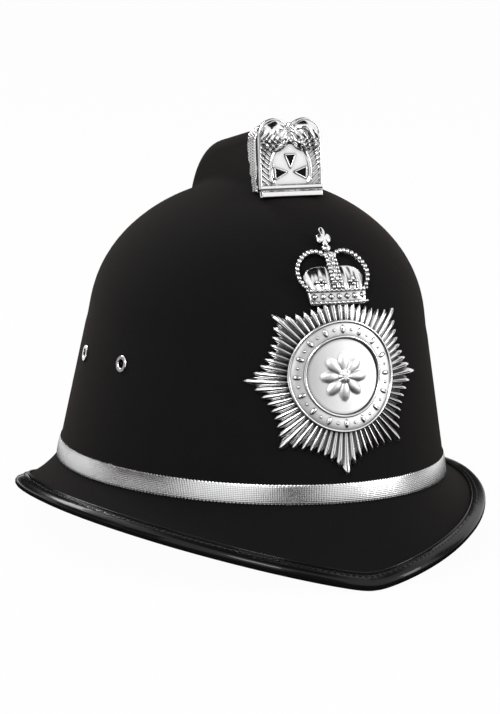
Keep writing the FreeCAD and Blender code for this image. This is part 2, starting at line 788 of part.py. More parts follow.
def buckle_prong():
    """Prong: an eye round the heel bar, a neck through the strap and a tongue on the far bar."""
    low = strap_level - prong_width / 2
    centre = Vector(bar_x(), buckle_bar_y, low)
    eye = Part.makeCylinder(buckle_bar_radius + pivot_clearance + 0.9, prong_width, centre)
    top = strap_half_span + strap_thickness / 2 + 0.1 + buckle_rail + 0.15
    neck_y = buckle_bar_y + 1.0
    tip_y = buckle_bar_y + buckle_length + buckle_rail
    outline = Part.Face(Part.makePolygon([
        Vector(centre.x + 0.5, neck_y - 1.0, low),
        Vector(centre.x + 0.5, neck_y + prong_thickness - 0.2, low),
        Vector(top, neck_y + prong_thickness + 0.8, low),
        Vector(top, tip_y, low),
        Vector(top + prong_thickness * 0.6, tip_y, low),
        Vector(top + prong_thickness, neck_y + 1.4, low),
        Vector(top + prong_thickness * 0.5, neck_y - 0.2, low),
        Vector(centre.x + 0.5, neck_y - 1.0, low),
    ]))
    prong = eye.fuse(outline.extrude(Vector(0, 0, prong_width)))
    return prong.cut(Part.makeCylinder(buckle_bar_radius + pivot_clearance, prong_width, centre))


def strap_keeper():
    """Loop that slides over the short strap and the tail of the long one."""
    inner_x = arm_outer_x(1) - short_strap_thickness - keeper_clearance
    outer_x = strap_half_span + strap_thickness / 2 + keeper_clearance
    half = strap_width / 2 + keeper_clearance
    y = keeper_y - keeper_width / 2
    hole = Part.makeBox(outer_x - inner_x, keeper_width, 2 * half, Vector(inner_x, y, strap_level - half))
    loop = Part.makeBox(outer_x - inner_x + 2 * keeper_wall, keeper_width, 2 * (half + keeper_wall))
    loop.translate(Vector(inner_x - keeper_wall, y, strap_level - half - keeper_wall))
    edges = [edge for edge in loop.Edges if edge.BoundBox.YLength > 1]
    return loop.makeFillet(keeper_wall * 0.8, edges).cut(hole)


def brim_binding():
    """Bound edge of the brim: a round nose with a leg over and a leg under the brim."""
    def leg(depth):
        return ring_wire(lambda angle: brim_point(angle, binding_leg, depth))

    def edge(depth):
        return ring_wire(lambda angle: brim_point(angle, 0.0, depth))

    def nose(turn):
        def point_at(angle):
            root, centre, along, normal = brim_frame(angle)
            out = along * math.cos(turn) + normal * math.sin(turn)
            return centre + out * nose_radius
        return ring_wire(point_at)
    under = core_thickness + binding_thickness
    round_nose = [nose(math.radians(turn)) for turn in (90, 54, 18, -18, -54, -90)]
    top_leg = leg(-binding_thickness)
    top_seat = leg(0.0)
    low_seat = leg(core_thickness)
    low_leg = leg(under)
    top_core = edge(0.0)
    low_core = edge(core_thickness)
    nose_strips = [list(pair) for pair in zip(round_nose[:-1], round_nose[1:])]
    return ring_solid([[top_leg, round_nose[0]]] + nose_strips + [
        [round_nose[-1], low_leg],
        [low_leg, low_seat],
        [low_seat, low_core],
        [low_core, top_core],
        [top_core, top_seat],
        [top_seat, top_leg],
    ])


def star_outline():
    """Outline of the rayed star: eight main points, with shorter rays between them."""
    points = []
    for ray in range(star_rays):
        share = (ray * MAIN_POINTS / star_rays) % 1.0
        short = 1 - abs(2 * share - 1)
        reach = star_radius - (star_radius - star_valley) * math.sin(short * math.pi / 2) ** 0.7
        half_step = math.pi / star_rays
        angle = 2 * math.pi * ray / star_rays - math.pi / 2
        if abs(reach * math.cos(angle)) < crown_plate_half_width and math.sin(angle) > 0:
            reach = min(reach, (crown_plate_base + crown_overlap - plate_level) / math.sin(angle))
        notch = reach - star_notch
        points.append((notch, angle - half_step))
        points.append((reach - 0.8, angle - half_step * 0.35))
        points.append((reach, angle))
        points.append((reach - 0.8, angle + half_step * 0.35))
    outline = [Vector(r * math.cos(a), -200, plate_level + r * math.sin(a)) for r, a in points]
    return Part.Face(Part.makePolygon(outline + [outline[0]]))


def on_crown(face, lower, upper):
    """Plate that follows the crown: an outline in the front plane, between two heights over the cloth."""
    prism = face.extrude(Vector(0, 140, 0))
    body = prism.common(crown_solid(-upper, band_base))
    return body.cut(crown_solid(-lower, band_base - 5))


def disc_face(radius, inner=0.0, x=0.0, z=None):
    """Round or ring-shaped outline in front of the helmet."""
    level = plate_level if z is None else z
    outer = Part.makeCircle(radius, Vector(x, -200, level), Vector(0, 1, 0))
    face = Part.Face(Part.Wire(outer))
    if inner > 0:
        hole = Part.Face(Part.Wire(Part.makeCircle(inner, Vector(x, -200, level), Vector(0, 1, 0))))
        face = face.cut(hole).Faces[0]
    return face


def plate_star():
    """Star plate with its rays."""
    return on_crown(star_outline(), plate_gap, plate_gap + plate_thickness)


def plate_ring():
    """Raised ring on the star, with a rim round each edge."""
    low = plate_gap + plate_thickness
    high = low + ring_height
    ring = on_crown(disc_face(ring_outer_radius, ring_inner_radius), low, high)
    rim = on_crown(disc_face(ring_outer_radius, ring_outer_radius - rim_width), high, high + rim_height)
    inner = on_crown(disc_face(ring_inner_radius + rim_width, ring_inner_radius), high, high + rim_height)
    return ring.fuse(rim).fuse(inner)


def plate_centre():
    """Low disc inside the ring, with a round boss in its middle."""
    low = plate_gap + plate_thickness
    disc = on_crown(disc_face(ring_inner_radius - 0.1), low, low + boss_height)
    boss = on_crown(disc_face(rosette_radius), low + boss_height, low + boss_height + rosette_height)
    return disc.fuse(boss)


def plate_crown():
    """Crown over the star: a jewelled band, a soft cap, two outer arches and a ball on top."""
    base = crown_plate_base
    lower = plate_gap + plate_thickness
    band = Part.Face(Part.makePolygon([
        Vector(-crown_plate_half_width, -200, base),
        Vector(crown_plate_half_width, -200, base),
        Vector(crown_plate_half_width + 1.2, -200, base + crown_band_height),
        Vector(-crown_plate_half_width - 1.2, -200, base + crown_band_height),
        Vector(-crown_plate_half_width, -200, base),
    ]))
    foot = base + crown_band_height
    top = base + crown_plate_height - crown_arch_width
    cap = Part.Face(Part.Wire([
        Part.makeLine(Vector(-crown_plate_half_width, -200, foot), Vector(crown_plate_half_width, -200, foot)),
        Part.Arc(Vector(crown_plate_half_width, -200, foot), Vector(10.0, -200, foot + 10.5),
                 Vector(0, -200, foot + 9.0)).toShape(),
        Part.Arc(Vector(0, -200, foot + 9.0), Vector(-10.0, -200, foot + 10.5),
                 Vector(-crown_plate_half_width, -200, foot)).toShape(),
    ]))
    middle = Part.Face(Part.makePolygon([
        Vector(-1.7, -200, foot),
        Vector(1.7, -200, foot),
        Vector(1.7, -200, top + crown_stalk),
        Vector(-1.7, -200, top + crown_stalk),
        Vector(-1.7, -200, foot),
    ]))
    arches = crown_arch(-1, foot - 0.5, top).fuse(crown_arch(1, foot - 0.5, top)).fuse(middle)
    pieces = [
        on_crown(band, lower, lower + 1.6),
        on_crown(cap, lower, lower + 0.9),
    ]
    pieces += [on_crown(face, lower, lower + 1.3) for face in arches.Faces]
    solid = pieces[0]
    for piece in pieces[1:]:
        solid = solid.fuse(piece)
    ball_level = top + crown_stalk
    rest = plate_gap + finial_radius
    point, normal = front_frame(0, ball_level)
    solid = solid.fuse(Part.makeSphere(finial_radius, point + normal * rest))
    point, normal = front_frame(0, ball_level + finial_radius * 0.8)
    return solid.fuse(Part.makeSphere(finial_tip_radius, point + normal * rest))


def crown_arch(side, foot, top):
    """One outer arch of the crown on the plate, as a curved strip."""
    def leg(inset):
        start = Vector(side * (crown_plate_half_width - inset), -200, foot)
        wide = Vector(side * (crown_arch_half_width - inset), -200, foot + 0.62 * (top - foot))
        high = Vector(side * (crown_arch_half_width * 0.55), -200, top + 1.5 - inset)
        end = Vector(0, -200, top - 1.0 - inset)
        curve = Part.BSplineCurve()
        curve.interpolate(Points=[start, wide, high, end])
        return curve.toShape()
    outer = leg(0.0)
    inner = leg(crown_arch_width)
    foot_line = Part.makeLine(outer.Vertexes[0].Point, inner.Vertexes[0].Point)
    end_line = Part.makeLine(outer.Vertexes[1].Point, inner.Vertexes[1].Point)
    return Part.Face(Part.Wire(Part.__sortEdges__([outer, inner, foot_line, end_line])))


def lug_seat():
    """Depth of the leather washers' faces under the cloth's face, at the plate's lugs."""
    return wall_depth * front_spread(lug_spacing / 2, plate_level) + lug_washer_gap


def split_pin_depth():
    """Depth of the split pins' axes."""
    return lug_seat() + lug_washer_thickness + split_pin_radius + 2 * seat_gap


def badge_lugs():
    """Two round lugs soldered to the back of the star, each with a hole for its split pin."""
    lugs = []
    for point, normal in lug_frames():
        top = plate_gap - seat_gap
        lug = Part.makeCylinder(lug_radius, lug_length, Vector(0, 0, top - lug_length))
        start = Vector(-split_pin_length / 2, 0, -split_pin_depth())
        hole = Part.makeCylinder(split_pin_radius + seat_gap, split_pin_length, start, Vector(1, 0, 0))
        lugs.append(stood_on(lug.cut(hole), point, normal))
    return Part.makeCompound(lugs)


def badge_washers():
    """Leather washers under the split pins, inside the shell."""
    seat = lug_seat()
    washer = turned([(-seat - lug_washer_thickness, -seat, lug_radius + seat_gap, lug_washer_radius)])
    return Part.makeCompound([stood_on(washer, point, normal) for point, normal in lug_frames()])


def badge_split_pins():
    """Pins through the lugs that draw the plate down on the cloth."""
    z = -split_pin_depth()
    start = Vector(-split_pin_length / 2, 0, z)
    pin = Part.makeCylinder(split_pin_radius, split_pin_length, start, Vector(1, 0, 0))
    eye = start - Vector(split_pin_eye * 0.8, 0, split_pin_radius / 2)
    pin = pin.fuse(Part.makeCylinder(split_pin_eye, split_pin_radius, eye))
    return Part.makeCompound([stood_on(pin, point, normal) for point, normal in lug_frames()])


def mount_local(shape):
    """Moves a shape from the mount's own frame, +X across, +Y up and +Z outwards, to the comb."""
    foot, up, out = mount_frame()
    placed = shape.copy()
    frame = FreeCAD.Placement(foot, FreeCAD.Rotation(Vector(1, 0, 0), up, out, "XYZ"))
    placed.Placement = frame.multiply(shape.Placement)
    return placed


def comb_mount(covered):
    """Plated mount: a pierced front plate with two lobes, and sides that wrap the comb."""
    foot, up, out = mount_frame()
    wrap = comb_solid(-mount_wall)
    low = foot.z
    region = Part.Face(Part.makePolygon([
        Vector(-40, foot.y - 20, low + 0.3),
        Vector(-40, foot.y + mount_reach_foot, low + 0.3),
        Vector(-40, foot.y + mount_reach_top + 4, low + mount_height),
        Vector(-40, foot.y + mount_reach_top + 4, low + mount_height + 20),
        Vector(-40, foot.y - 20, low + mount_height + 20),
        Vector(-40, foot.y - 20, low + 0.3),
    ])).extrude(Vector(80, 0, 0))
    casting = wrap.common(region)
    lobe_x = mount_half_width - mount_lobe_radius
    lobe_y = mount_height - mount_lobe_radius
    side = mount_half_width
    outline = Part.Face(Part.Wire([
        Part.makeLine(Vector(-side, 1.0, 0), Vector(side, 1.0, 0)),
        Part.makeLine(Vector(side, 1.0, 0), Vector(side, lobe_y, 0)),
        Part.Arc(Vector(side, lobe_y, 0), Vector(lobe_x, mount_height, 0),
                 Vector(1.2, mount_height - 4.0, 0)).toShape(),
        Part.makeLine(Vector(1.2, mount_height - 4.0, 0), Vector(-1.2, mount_height - 4.0, 0)),
        Part.Arc(Vector(-1.2, mount_height - 4.0, 0), Vector(-lobe_x, mount_height, 0),
                 Vector(-side, lobe_y, 0)).toShape(),
        Part.makeLine(Vector(-side, lobe_y, 0), Vector(-side, 1.0, 0)),
    ]))
    plate = outline.extrude(Vector(0, 0, mount_plate_thickness))
    plate = plate.fuse(Part.makeCylinder(
        mount_roll_radius, 2 * side, Vector(-side, mount_roll_radius, mount_plate_thickness - 0.4),
        Vector(1, 0, 0)))
    for way in (-1, 1):
        foot_radius = mount_lobe_radius - 0.5
        ball = (foot_radius ** 2 + mount_lobe_height ** 2) / (2 * mount_lobe_height)
        sunk = mount_plate_thickness + mount_lobe_height - ball
        lobe = Part.makeSphere(ball, Vector(way * lobe_x, lobe_y + 0.2, sunk))
        keep = Part.makeBox(40, 40, 10, Vector(-20, lobe_y - 20, mount_plate_thickness - 0.02))
        plate = plate.fuse(lobe.common(keep))
    casting = casting.fuse(mount_local(plate))
    for turn in (90, 205, -25):
        casting = casting.cut(mount_local(pierced_triangle(turn)))
    return casting.cut(covered)


def pierced_triangle(turn):
    """One triangular piercing, its tip towards the middle of the front field."""
    middle = Vector(0, 15.0, -1)
    angle = math.radians(turn)
    way = Vector(math.cos(angle), math.sin(angle), 0)
    across = Vector(-way.y, way.x, 0)
    tip = middle + way * 1.6
    base = middle + way * (1.6 + mount_pierce_size)
    corners = [tip, base + across * 3.0, base - across * 3.0, tip]
    return Part.Face(Part.makePolygon(corners)).extrude(Vector(0, 0, mount_plate_thickness + 2))


def mount_studs():
    """Studs that run from the mount through the front of the comb."""
    start = Vector(0, 0, -mount_stud_length - seat_gap)
    stud = Part.makeCylinder(mount_stud_radius, mount_stud_length, start)
    return Part.makeCompound([stood_on(stud, point, normal) for point, normal in mount_stud_frames()])


def mount_nuts():
    """Hexagon nuts on the studs, inside the comb."""
    nuts = []
    corners = [Vector(mount_nut_radius * math.cos(math.radians(60 * k)),
                      mount_nut_radius * math.sin(math.radians(60 * k)), 0) for k in range(7)]
    nut = Part.Face(Part.makePolygon(corners)).extrude(Vector(0, 0, mount_nut_thickness))
    nut = nut.cut(Part.makeCylinder(mount_stud_radius, mount_nut_thickness))
    nut.translate(Vector(0, 0, -wall_depth - 2 * seat_gap - mount_nut_thickness))
    for point, normal in mount_stud_frames():
        nuts.append(stood_on(nut, point, normal))
    return Part.makeCompound(nuts)


def round_angles(count, first=0.0):
    """Angles in degrees of evenly spaced pieces round the headband."""
    return [first + 360.0 * k / count for k in range(count)]


def sector_pieces(ring, width, angles):
    """Pieces of a round hoop, each as wide as a box that is turned to its angle."""
    pieces = []
    for angle in angles:
        box = Part.makeBox(200, width, 300, Vector(0, -width / 2, 0))
        box.rotate(Vector(0, 0, 0), Vector(0, 0, 1), angle)
        pieces.append(ring.common(box))
    return pieces


def headband_spacers():
    """Cork blocks that hold the headband off the shell."""
    outer = wall_depth + 2 * seat_gap
    inner = headband_depth - seat_gap
    ring = revolved([
        wall_point(spacer_base, inner),
        wall_point(spacer_base, outer),
        wall_point(spacer_top, outer),
        wall_point(spacer_top, inner),
    ])
    pieces = sector_pieces(ring, spacer_width, round_angles(spacer_count))
    return to_oval(Part.makeCompound(pieces))


def tape_section(offset):
    """Half section of a cradle tape's face, as a straight foot and a quarter ellipse."""
    radius = wall_point(headband_top, headband_depth).x + offset
    height = tape_peak - headband_top + offset
    return radius, height


def cradle_tapes():
    """Tapes from the headband up over the head to the crown disc."""
    outer_radius, outer_height = tape_section(tape_thickness)
    inner_radius, inner_height = tape_section(seat_gap)

    def on_ellipse(radius, height, reach):
        return Vector(reach, 0, headband_top + height * math.sqrt(1 - (reach / radius) ** 2))
    outer = [on_ellipse(outer_radius, outer_height, outer_radius * share) for share in (1, .95, .8, .6, .4)]
    inner = [on_ellipse(inner_radius, inner_height, inner_radius * share) for share in (1, .95, .8, .6, .4)]
    outer.append(on_ellipse(outer_radius, outer_height, tape_end_radius))
    inner.append(on_ellipse(inner_radius, inner_height, tape_end_radius))
    outer_curve = Part.BSplineCurve()
    outer_curve.interpolate(Points=outer)
    inner_curve = Part.BSplineCurve()
    inner_curve.interpolate(Points=inner)
    outer_foot = wall_point(tape_foot, headband_depth - tape_thickness)
    inner_foot = wall_point(tape_foot, headband_depth - seat_gap)
    face = Part.Face(Part.Wire([
        Part.makeLine(outer_foot, outer[0]),
        outer_curve.toShape(),
        Part.makeLine(outer[-1], inner[-1]),
        inner_curve.toShape().reversed(),
        Part.makeLine(inner[0], inner_foot),
        Part.makeLine(inner_foot, outer_foot),
    ]))
    tape = face.extrude(Vector(0, tape_width, 0))
    tape.translate(Vector(0, -tape_width / 2, 0))
    tapes = []
    for angle in round_angles(tape_count, 30.0):
        turned_tape = tape.copy()
        turned_tape.rotate(Vector(0, 0, 0), Vector(0, 0, 1), angle)
        tapes.append(turned_tape)
    return to_oval(Part.makeCompound(tapes))


def dome_level(reach, offset):
    """Height of the cradle's dome at a distance from its middle, raised by an offset."""
    radius, height = tape_section(offset)
    return headband_top + height * math.sqrt(1 - (reach / radius) ** 2)


def cap_section(radius, flat, bottom, top):
    """Half section of a round piece on the dome: flat in its middle, then sloping with the tapes."""
    return [
        Vector(0, 0, dome_level(flat, bottom)),
        Vector(flat, 0, dome_level(flat, bottom)),
        Vector(radius, 0, dome_level(radius, bottom)),
        Vector(radius, 0, dome_level(radius, top)),
        Vector(flat, 0, dome_level(flat, top)),
        Vector(0, 0, dome_level(flat, top)),
    ]


def crown_disc():
    """Disc over the ends of the tapes, with a middle that reaches down to the pad."""
    low = tape_thickness + crown_disc_gap
    section = cap_section(crown_disc_radius, crown_disc_neck, low, low + crown_disc_thickness)
    foot = dome_level(crown_disc_neck, -pad_gap)
    section[0] = Vector(0, 0, foot)
    section.insert(1, Vector(crown_disc_neck, 0, foot))
    return to_oval(revolved(section))


def crown_pad():
    """Soft pad under the tapes, fixed to the middle of the crown disc."""
    return to_oval(revolved(cap_section(pad_radius, crown_disc_neck, -pad_gap - pad_thickness, -pad_gap)))


def headband_rivets():
    """Rivets through tape, headband and sweatband."""
    level = (tape_foot + headband_top) / 2
    outer = headband_depth - tape_thickness
    inner = headband_depth + headband_thickness + sweatband_thickness
    rivet = turned([
        (-inner - 2 * seat_gap, -outer + 2 * seat_gap, 0, rivet_radius),
        (-outer + seat_gap, -outer + seat_gap + rivet_head_thickness, 0, rivet_head_radius),
        (-inner - seat_gap - rivet_head_thickness, -inner - seat_gap, 0, rivet_head_radius),
    ])
    normal = Vector(1, 0, crown_taper).normalize()
    rivet = stood_on(rivet, wall_point(level, 0), normal)
    rivets = []
    for angle in round_angles(tape_count, 30.0):
        piece = rivet.copy()
        piece.rotate(Vector(0, 0, 0), Vector(0, 0, 1), angle)
        rivets.append(piece)
    return to_oval(Part.makeCompound(rivets))


def rivet_drills():
    """Round holes for the headband's rivets, in the round frame."""
    level = (tape_foot + headband_top) / 2
    drill = Part.makeCylinder(rivet_radius, 30, Vector(0, 0, -25))
    drill = stood_on(drill, wall_point(level, 0), Vector(1, 0, crown_taper).normalize())
    drills = []
    for angle in round_angles(tape_count, 30.0):
        piece = drill.copy()
        piece.rotate(Vector(0, 0, 0), Vector(0, 0, 1), angle)
        drills.append(piece)
    return to_oval(Part.makeCompound(drills))


def cut_all(solid, tools):
    """Cuts several tools from a solid, one after the other."""
    for tool in tools:
        solid = solid.cut(tool)
    return solid


def save(name, shape):
    """Writes one node and prints its size."""
    shape.exportStep(os.path.join("parts", name + ".step"))
    box = shape.BoundBox
    print(name, len(shape.Solids), shape.isValid(), round(shape.Volume),
          [round(value, 1) for value in (box.XMin, box.XMax, box.YMin, box.YMax, box.ZMin, box.ZMax)])


def main():
    os.makedirs("parts", exist_ok=True)
    covered = crown_with_comb(0.0, crown_foot)
    under_cloth = crown_with_comb(cloth_thickness, crown_foot)
    under_cloth_long = crown_with_comb(cloth_thickness, lowest)
    inside = crown_with_comb(wall_depth, lowest, flared=False)
    cloth_brim = brim_layer(0.0, brim_fill, brim_root_reach, 0.0)
    shell_brim = brim_layer(cloth_thickness, brim_fill, brim_root_reach, 0.0)
    below_cloth = brim_layer(cloth_thickness, brim_cut, brim_root_reach, brim_cut_edge)
    below_shell = brim_layer(brim_depth, brim_cut, brim_root_reach, brim_cut_edge)
    holes = wall_holes()
    cloth = covered.fuse(cloth_brim).cut(under_cloth_long).cut(below_cloth)
    save("cloth_cover", cut_all(cloth, holes))
    shell = under_cloth.fuse(shell_brim).cut(inside).cut(below_shell)
    rivet_holes = []
    for point, normal in anchor_rivet_frames():
        rivet_holes.append(stood_on(anchor_rivet(), point, normal))
    save("shell", cut_all(shell, holes + rivet_holes))
    lining_top = brim_depth + seat_gap
    save("brim_lining", brim_layer(lining_top, core_thickness - 2 * seat_gap, 0.5, 2 * seat_gap))
    save("brim_binding", brim_binding())
    save("hat_band", wall_ring(-ribbon_thickness, -3 * seat_gap, band_base, band_top))
    save("badge_star", plate_star())
    save("badge_ring", plate_ring())
    save("badge_centre", plate_centre())
    save("badge_crown", plate_crown())
    save("badge_lugs", badge_lugs())
    save("badge_washers", badge_washers())
    save("badge_split_pins", badge_split_pins())
    save("comb_mount", comb_mount(covered))
    save("comb_mount_studs", mount_studs())
    save("comb_mount_nuts", mount_nuts())
    save("vent_eyelets_right", vent_eyelets(-1))
    save("vent_eyelets_left", vent_eyelets(1))
    save("eyelet_washers_right", eyelet_washers(-1))
    save("eyelet_washers_left", eyelet_washers(1))
    drills = rivet_drills()
    inner = headband_depth + headband_thickness
    headband = wall_ring(headband_depth, inner, headband_base, headband_top)
    save("headband", headband.cut(drills))
    leaf = wall_ring(inner, inner + sweatband_thickness, headband_base, headband_top)
    hem = wall_ring(headband_depth, inner + sweatband_thickness,
                    headband_base - sweatband_thickness, headband_base)
    save("sweatband", leaf.fuse(hem).removeSplitter().cut(drills))
    save("headband_spacers", headband_spacers())
    save("cradle_tapes", cradle_tapes().cut(drills))
    save("headband_rivets", headband_rivets())
    save("crown_disc", crown_disc())
    save("crown_pad", crown_pad())
    anchors = strap_anchors()
    save("strap_anchor_right", anchors[0])
    save("strap_anchor_left", anchors[1])
    rivets = [stood_on(anchor_rivet(), point, normal) for point, normal in anchor_rivet_frames()]
    save("anchor_rivets", Part.makeCompound(rivets))
    save("strap_pivot_right", strap_pivot(-1))
    save("strap_pivot_left", strap_pivot(1))
    save("chin_strap_long", chin_strap_long())
    save("chin_strap_short", chin_strap_short())
    save("strap_buckle", strap_buckle())
    save("buckle_prong", buckle_prong())
    save("strap_keeper", strap_keeper())


main()
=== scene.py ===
# %% [markdown]
# # A custodian police helmet, dressed and lit
# The helmet's solid parts come in as a fixed frame at their true sizes. This lesson adds what the
# eye looks for, such as napped cloth, woven ribbon and fluted silver, and sets up a small studio.

import json
import math

import bmesh
import bpy
import numpy as np
from mathutils import Matrix, Vector


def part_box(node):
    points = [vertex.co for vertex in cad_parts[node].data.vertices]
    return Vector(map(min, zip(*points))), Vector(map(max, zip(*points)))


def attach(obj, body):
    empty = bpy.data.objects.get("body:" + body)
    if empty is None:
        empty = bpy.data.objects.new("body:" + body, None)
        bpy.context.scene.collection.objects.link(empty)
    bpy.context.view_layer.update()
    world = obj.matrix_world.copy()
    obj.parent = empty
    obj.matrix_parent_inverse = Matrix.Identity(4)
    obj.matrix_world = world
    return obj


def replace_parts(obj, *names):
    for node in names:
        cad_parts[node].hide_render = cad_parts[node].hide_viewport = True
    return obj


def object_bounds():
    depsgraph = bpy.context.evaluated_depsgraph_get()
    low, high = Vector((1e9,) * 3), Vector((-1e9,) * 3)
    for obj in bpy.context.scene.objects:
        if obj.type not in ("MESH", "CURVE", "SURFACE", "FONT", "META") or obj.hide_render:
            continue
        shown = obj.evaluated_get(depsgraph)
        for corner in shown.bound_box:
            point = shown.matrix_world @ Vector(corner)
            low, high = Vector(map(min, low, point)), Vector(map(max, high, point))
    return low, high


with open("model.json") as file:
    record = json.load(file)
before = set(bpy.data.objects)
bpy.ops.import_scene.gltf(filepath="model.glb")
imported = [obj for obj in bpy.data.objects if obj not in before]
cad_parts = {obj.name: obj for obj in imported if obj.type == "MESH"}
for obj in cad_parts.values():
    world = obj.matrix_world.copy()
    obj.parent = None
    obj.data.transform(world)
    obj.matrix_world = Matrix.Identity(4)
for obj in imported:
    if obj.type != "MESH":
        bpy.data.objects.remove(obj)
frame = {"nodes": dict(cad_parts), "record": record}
cad_low, cad_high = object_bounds()
nodes = frame["nodes"]
size_mm = [round(1000 * (high - low), 1) for low, high in zip(cad_low, cad_high)]
print("frame:", len(nodes), "parts,", size_mm, "mm")

# %% [markdown]
# ## Working units
# Every length below is in millimetres, and each mesh is scaled to metres when it is made. The
# crown is a tapering oval with a rounded top. Its measures are repeated here, because ribbon and
# plate lie on it.

# %% The crown's measures
MM = 0.001
join = np.concatenate
ribbon_low, ribbon_high = (1000 * corner.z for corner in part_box("hat_band"))
crown_half_width = 99        # over the cloth, at the ribbon's upper edge
crown_stretch = 121 / 99
crown_centre = 3.2
crown_taper = 0.171
crown_lean = -0.069
shoulder = 126.2
crown_top = 193.3
crown_roundness = 2.28


def clamp(value):
    """Value kept between zero and one."""
    return np.clip(value, 0, 1)


def root(value):
    """Square root of what lies above zero."""
    return np.sqrt(np.maximum(value, 0))


def crown_straight(z):
    """Half width of the crown's straight part, an even taper."""
    return crown_half_width - crown_taper * (z - ribbon_high)


def crown_half(z):
    """Half width of the crown at each height: the straight taper, times a superellipse above the
    shoulder."""
    rise = clamp((z - shoulder) / (crown_top - shoulder))
    return crown_straight(z) * np.sqrt(1 - rise ** crown_roundness)


def crown_middle(z):
    """Middle of the oval at each height: a straight lean back."""
    return crown_centre + crown_lean * (z - ribbon_high)


def oval(turn, z, half):
    """Point of an oval at a turn round it (0 is the left side): half width times cosine, stretched
    half width times sine."""
    y = crown_middle(z) + crown_stretch * half * np.sin(turn)
    return np.stack([half * np.cos(turn), y, z + 0 * turn], axis=-1)


def crown_ring(turn, z):
    """Point of the crown at a turn and a height."""
    return oval(turn, z, crown_half(z))


def crown_front(x, z):
    """Point on the front of the crown straight behind each (x, z): y solves the oval's equation."""
    half = crown_half(z)
    back = root(1 - (x / half) ** 2)
    return np.stack([x, crown_middle(z) - crown_stretch * half * back, z], axis=-1)


def unit(vectors):
    """Vectors divided by their length."""
    return vectors / np.linalg.norm(vectors, axis=-1, keepdims=True)


def lifted(place, a, b, height, step=0.05):
    """Point of a surface place(a, b), raised along its normal, the cross product of two small
    steps."""
    a, b, height = np.broadcast_arrays(a, b, height)
    along_a = place(a + step, b) - place(a - step, b)
    along_b = place(a, b + step) - place(a, b - step)
    return place(a, b) + unit(np.cross(along_a, along_b)) * height[..., None]


def on_front(x, z, height):
    """Point raised from the front of the crown."""
    return lifted(crown_front, x, z, height)


print("crown at the ribbon:", round(2 * crown_half_width), "mm wide")

# %% [markdown]
# ## From a grid to a mesh
# Most new pieces are surfaces of two parameters: a function gives a block of points, and
# neighbours in the block become neighbours in the mesh. To close a seam without a crack, the first
# column is repeated, and doubles are merged.

# %% Meshes from grids
render_levels = 1
side_names = {-1: "right", 1: "left"}


def mesh_of(name, points, faces):
    """Mesh of points in millimetres and faces of four corners."""
    mesh = bpy.data.meshes.new(name)
    mesh.from_pydata((points.reshape(-1, 3) * MM).tolist(), [], faces.reshape(-1, 4).tolist())
    return mesh


def finish_mesh(mesh, name, body, material):
    """Piece from a mesh: doubles merged, faces outwards, smooth, riding on its body."""
    work = bmesh.new()
    work.from_mesh(mesh)
    bmesh.ops.remove_doubles(work, verts=work.verts, dist=2e-6)
    bmesh.ops.dissolve_degenerate(work, edges=work.edges, dist=1e-7)
    bmesh.ops.recalc_face_normals(work, faces=work.faces)
    work.to_mesh(mesh)
    work.free()
    mesh.shade_smooth()
    mesh.materials.clear()
    mesh.materials.append(material)
    piece = bpy.data.objects.new(name, mesh)
    bpy.context.scene.collection.objects.link(piece)
    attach(piece, body)
    return piece


def quads(rows, columns):
    """Corner numbers of the quads between neighbours of a grid, computed as whole arrays."""
    first = np.arange(rows - 1)[:, None] * columns + np.arange(columns - 1)[None, :]
    return (first[..., None] + [0, 1, columns + 1, columns]).reshape(-1, 4)


def surface(name, points, material, uv=None):
    """Piece from a grid of points, with an optional grid of texture coordinates."""
    faces = quads(*points.shape[:2])
    mesh = mesh_of(name, points, faces)
    if uv is not None:
        layer = mesh.uv_layers.new(name="UVMap")
        layer.data.foreach_set("uv", uv.reshape(-1, 2)[faces.ravel()].astype(np.float32).ravel())
    return finish_mesh(mesh, name, "helmet", material)


def turns(count):
    """Angles once round, the first repeated so that the seam closes."""
    return np.linspace(0, 2 * np.pi, count + 1)


def shares(rows, columns, left=0):
    """Two parameters of a grid: 0 to 1 down its rows, and the left value to 1 along its
    columns."""
    return np.linspace(0, 1, rows)[:, None], np.linspace(left, 1, columns)[None, :]


def closed_round(front, back):
    """A front and a back as one grid: the back reversed, then the front's first column again."""
    return join([front, back[:, ::-1], front[:, :1]], axis=1)


def tube(path, radius, sides=8, closed=False):
    """Grid of a round tube: circles across a path, turned with its tangent."""
    ahead = np.roll(path, -1, axis=0) - np.roll(path, 1, axis=0)
    if not closed:
        ahead[0], ahead[-1] = path[1] - path[0], path[-1] - path[-2]
    ahead = unit(ahead)
    across = np.cross(ahead, [0, 0, 1])
    across[np.linalg.norm(across, axis=1) < 1e-6] = [1, 0, 0]
    across = unit(across)
    angle = turns(sides)[None, :, None]
    ring = across[:, None] * np.cos(angle) + np.cross(across, ahead)[:, None] * np.sin(angle)
    points = path[:, None] + ring * radius
    if closed:
        return join([points, points[:1]])
    ends = [np.broadcast_to(path[k], points[k].shape)[None] for k in (0, -1)]
    return join([ends[0], points, ends[1]])


def pebble(sides=10, rings=6):
    """Unit sphere as a grid, from pole to pole."""
    polar = np.linspace(0, np.pi, rings + 1)[:, None]
    angle = turns(sides)[None, :]
    return np.stack([np.sin(polar) * np.cos(angle), np.sin(polar) * np.sin(angle),
                     np.cos(polar) + 0 * angle], axis=-1)


def scattered(name, small, centres, axes, sizes, material):
    """Copies of one small grid in one mesh: a centre plus the small grid's point, scaled by the
    sizes and turned by three axes."""
    rows, columns = small.shape[:2]
    local = small.reshape(1, -1, 3) * np.asarray(sizes, float).reshape(-1, 1, 3)
    local = np.broadcast_to(local, (len(centres), rows * columns, 3))
    points = centres[:, None] + np.einsum("npk,nkj->npj", local, axes)
    faces = quads(rows, columns)[None] + (np.arange(len(centres)) * rows * columns)[:, None, None]
    return finish_mesh(mesh_of(name, points, faces), name, "helmet", material)


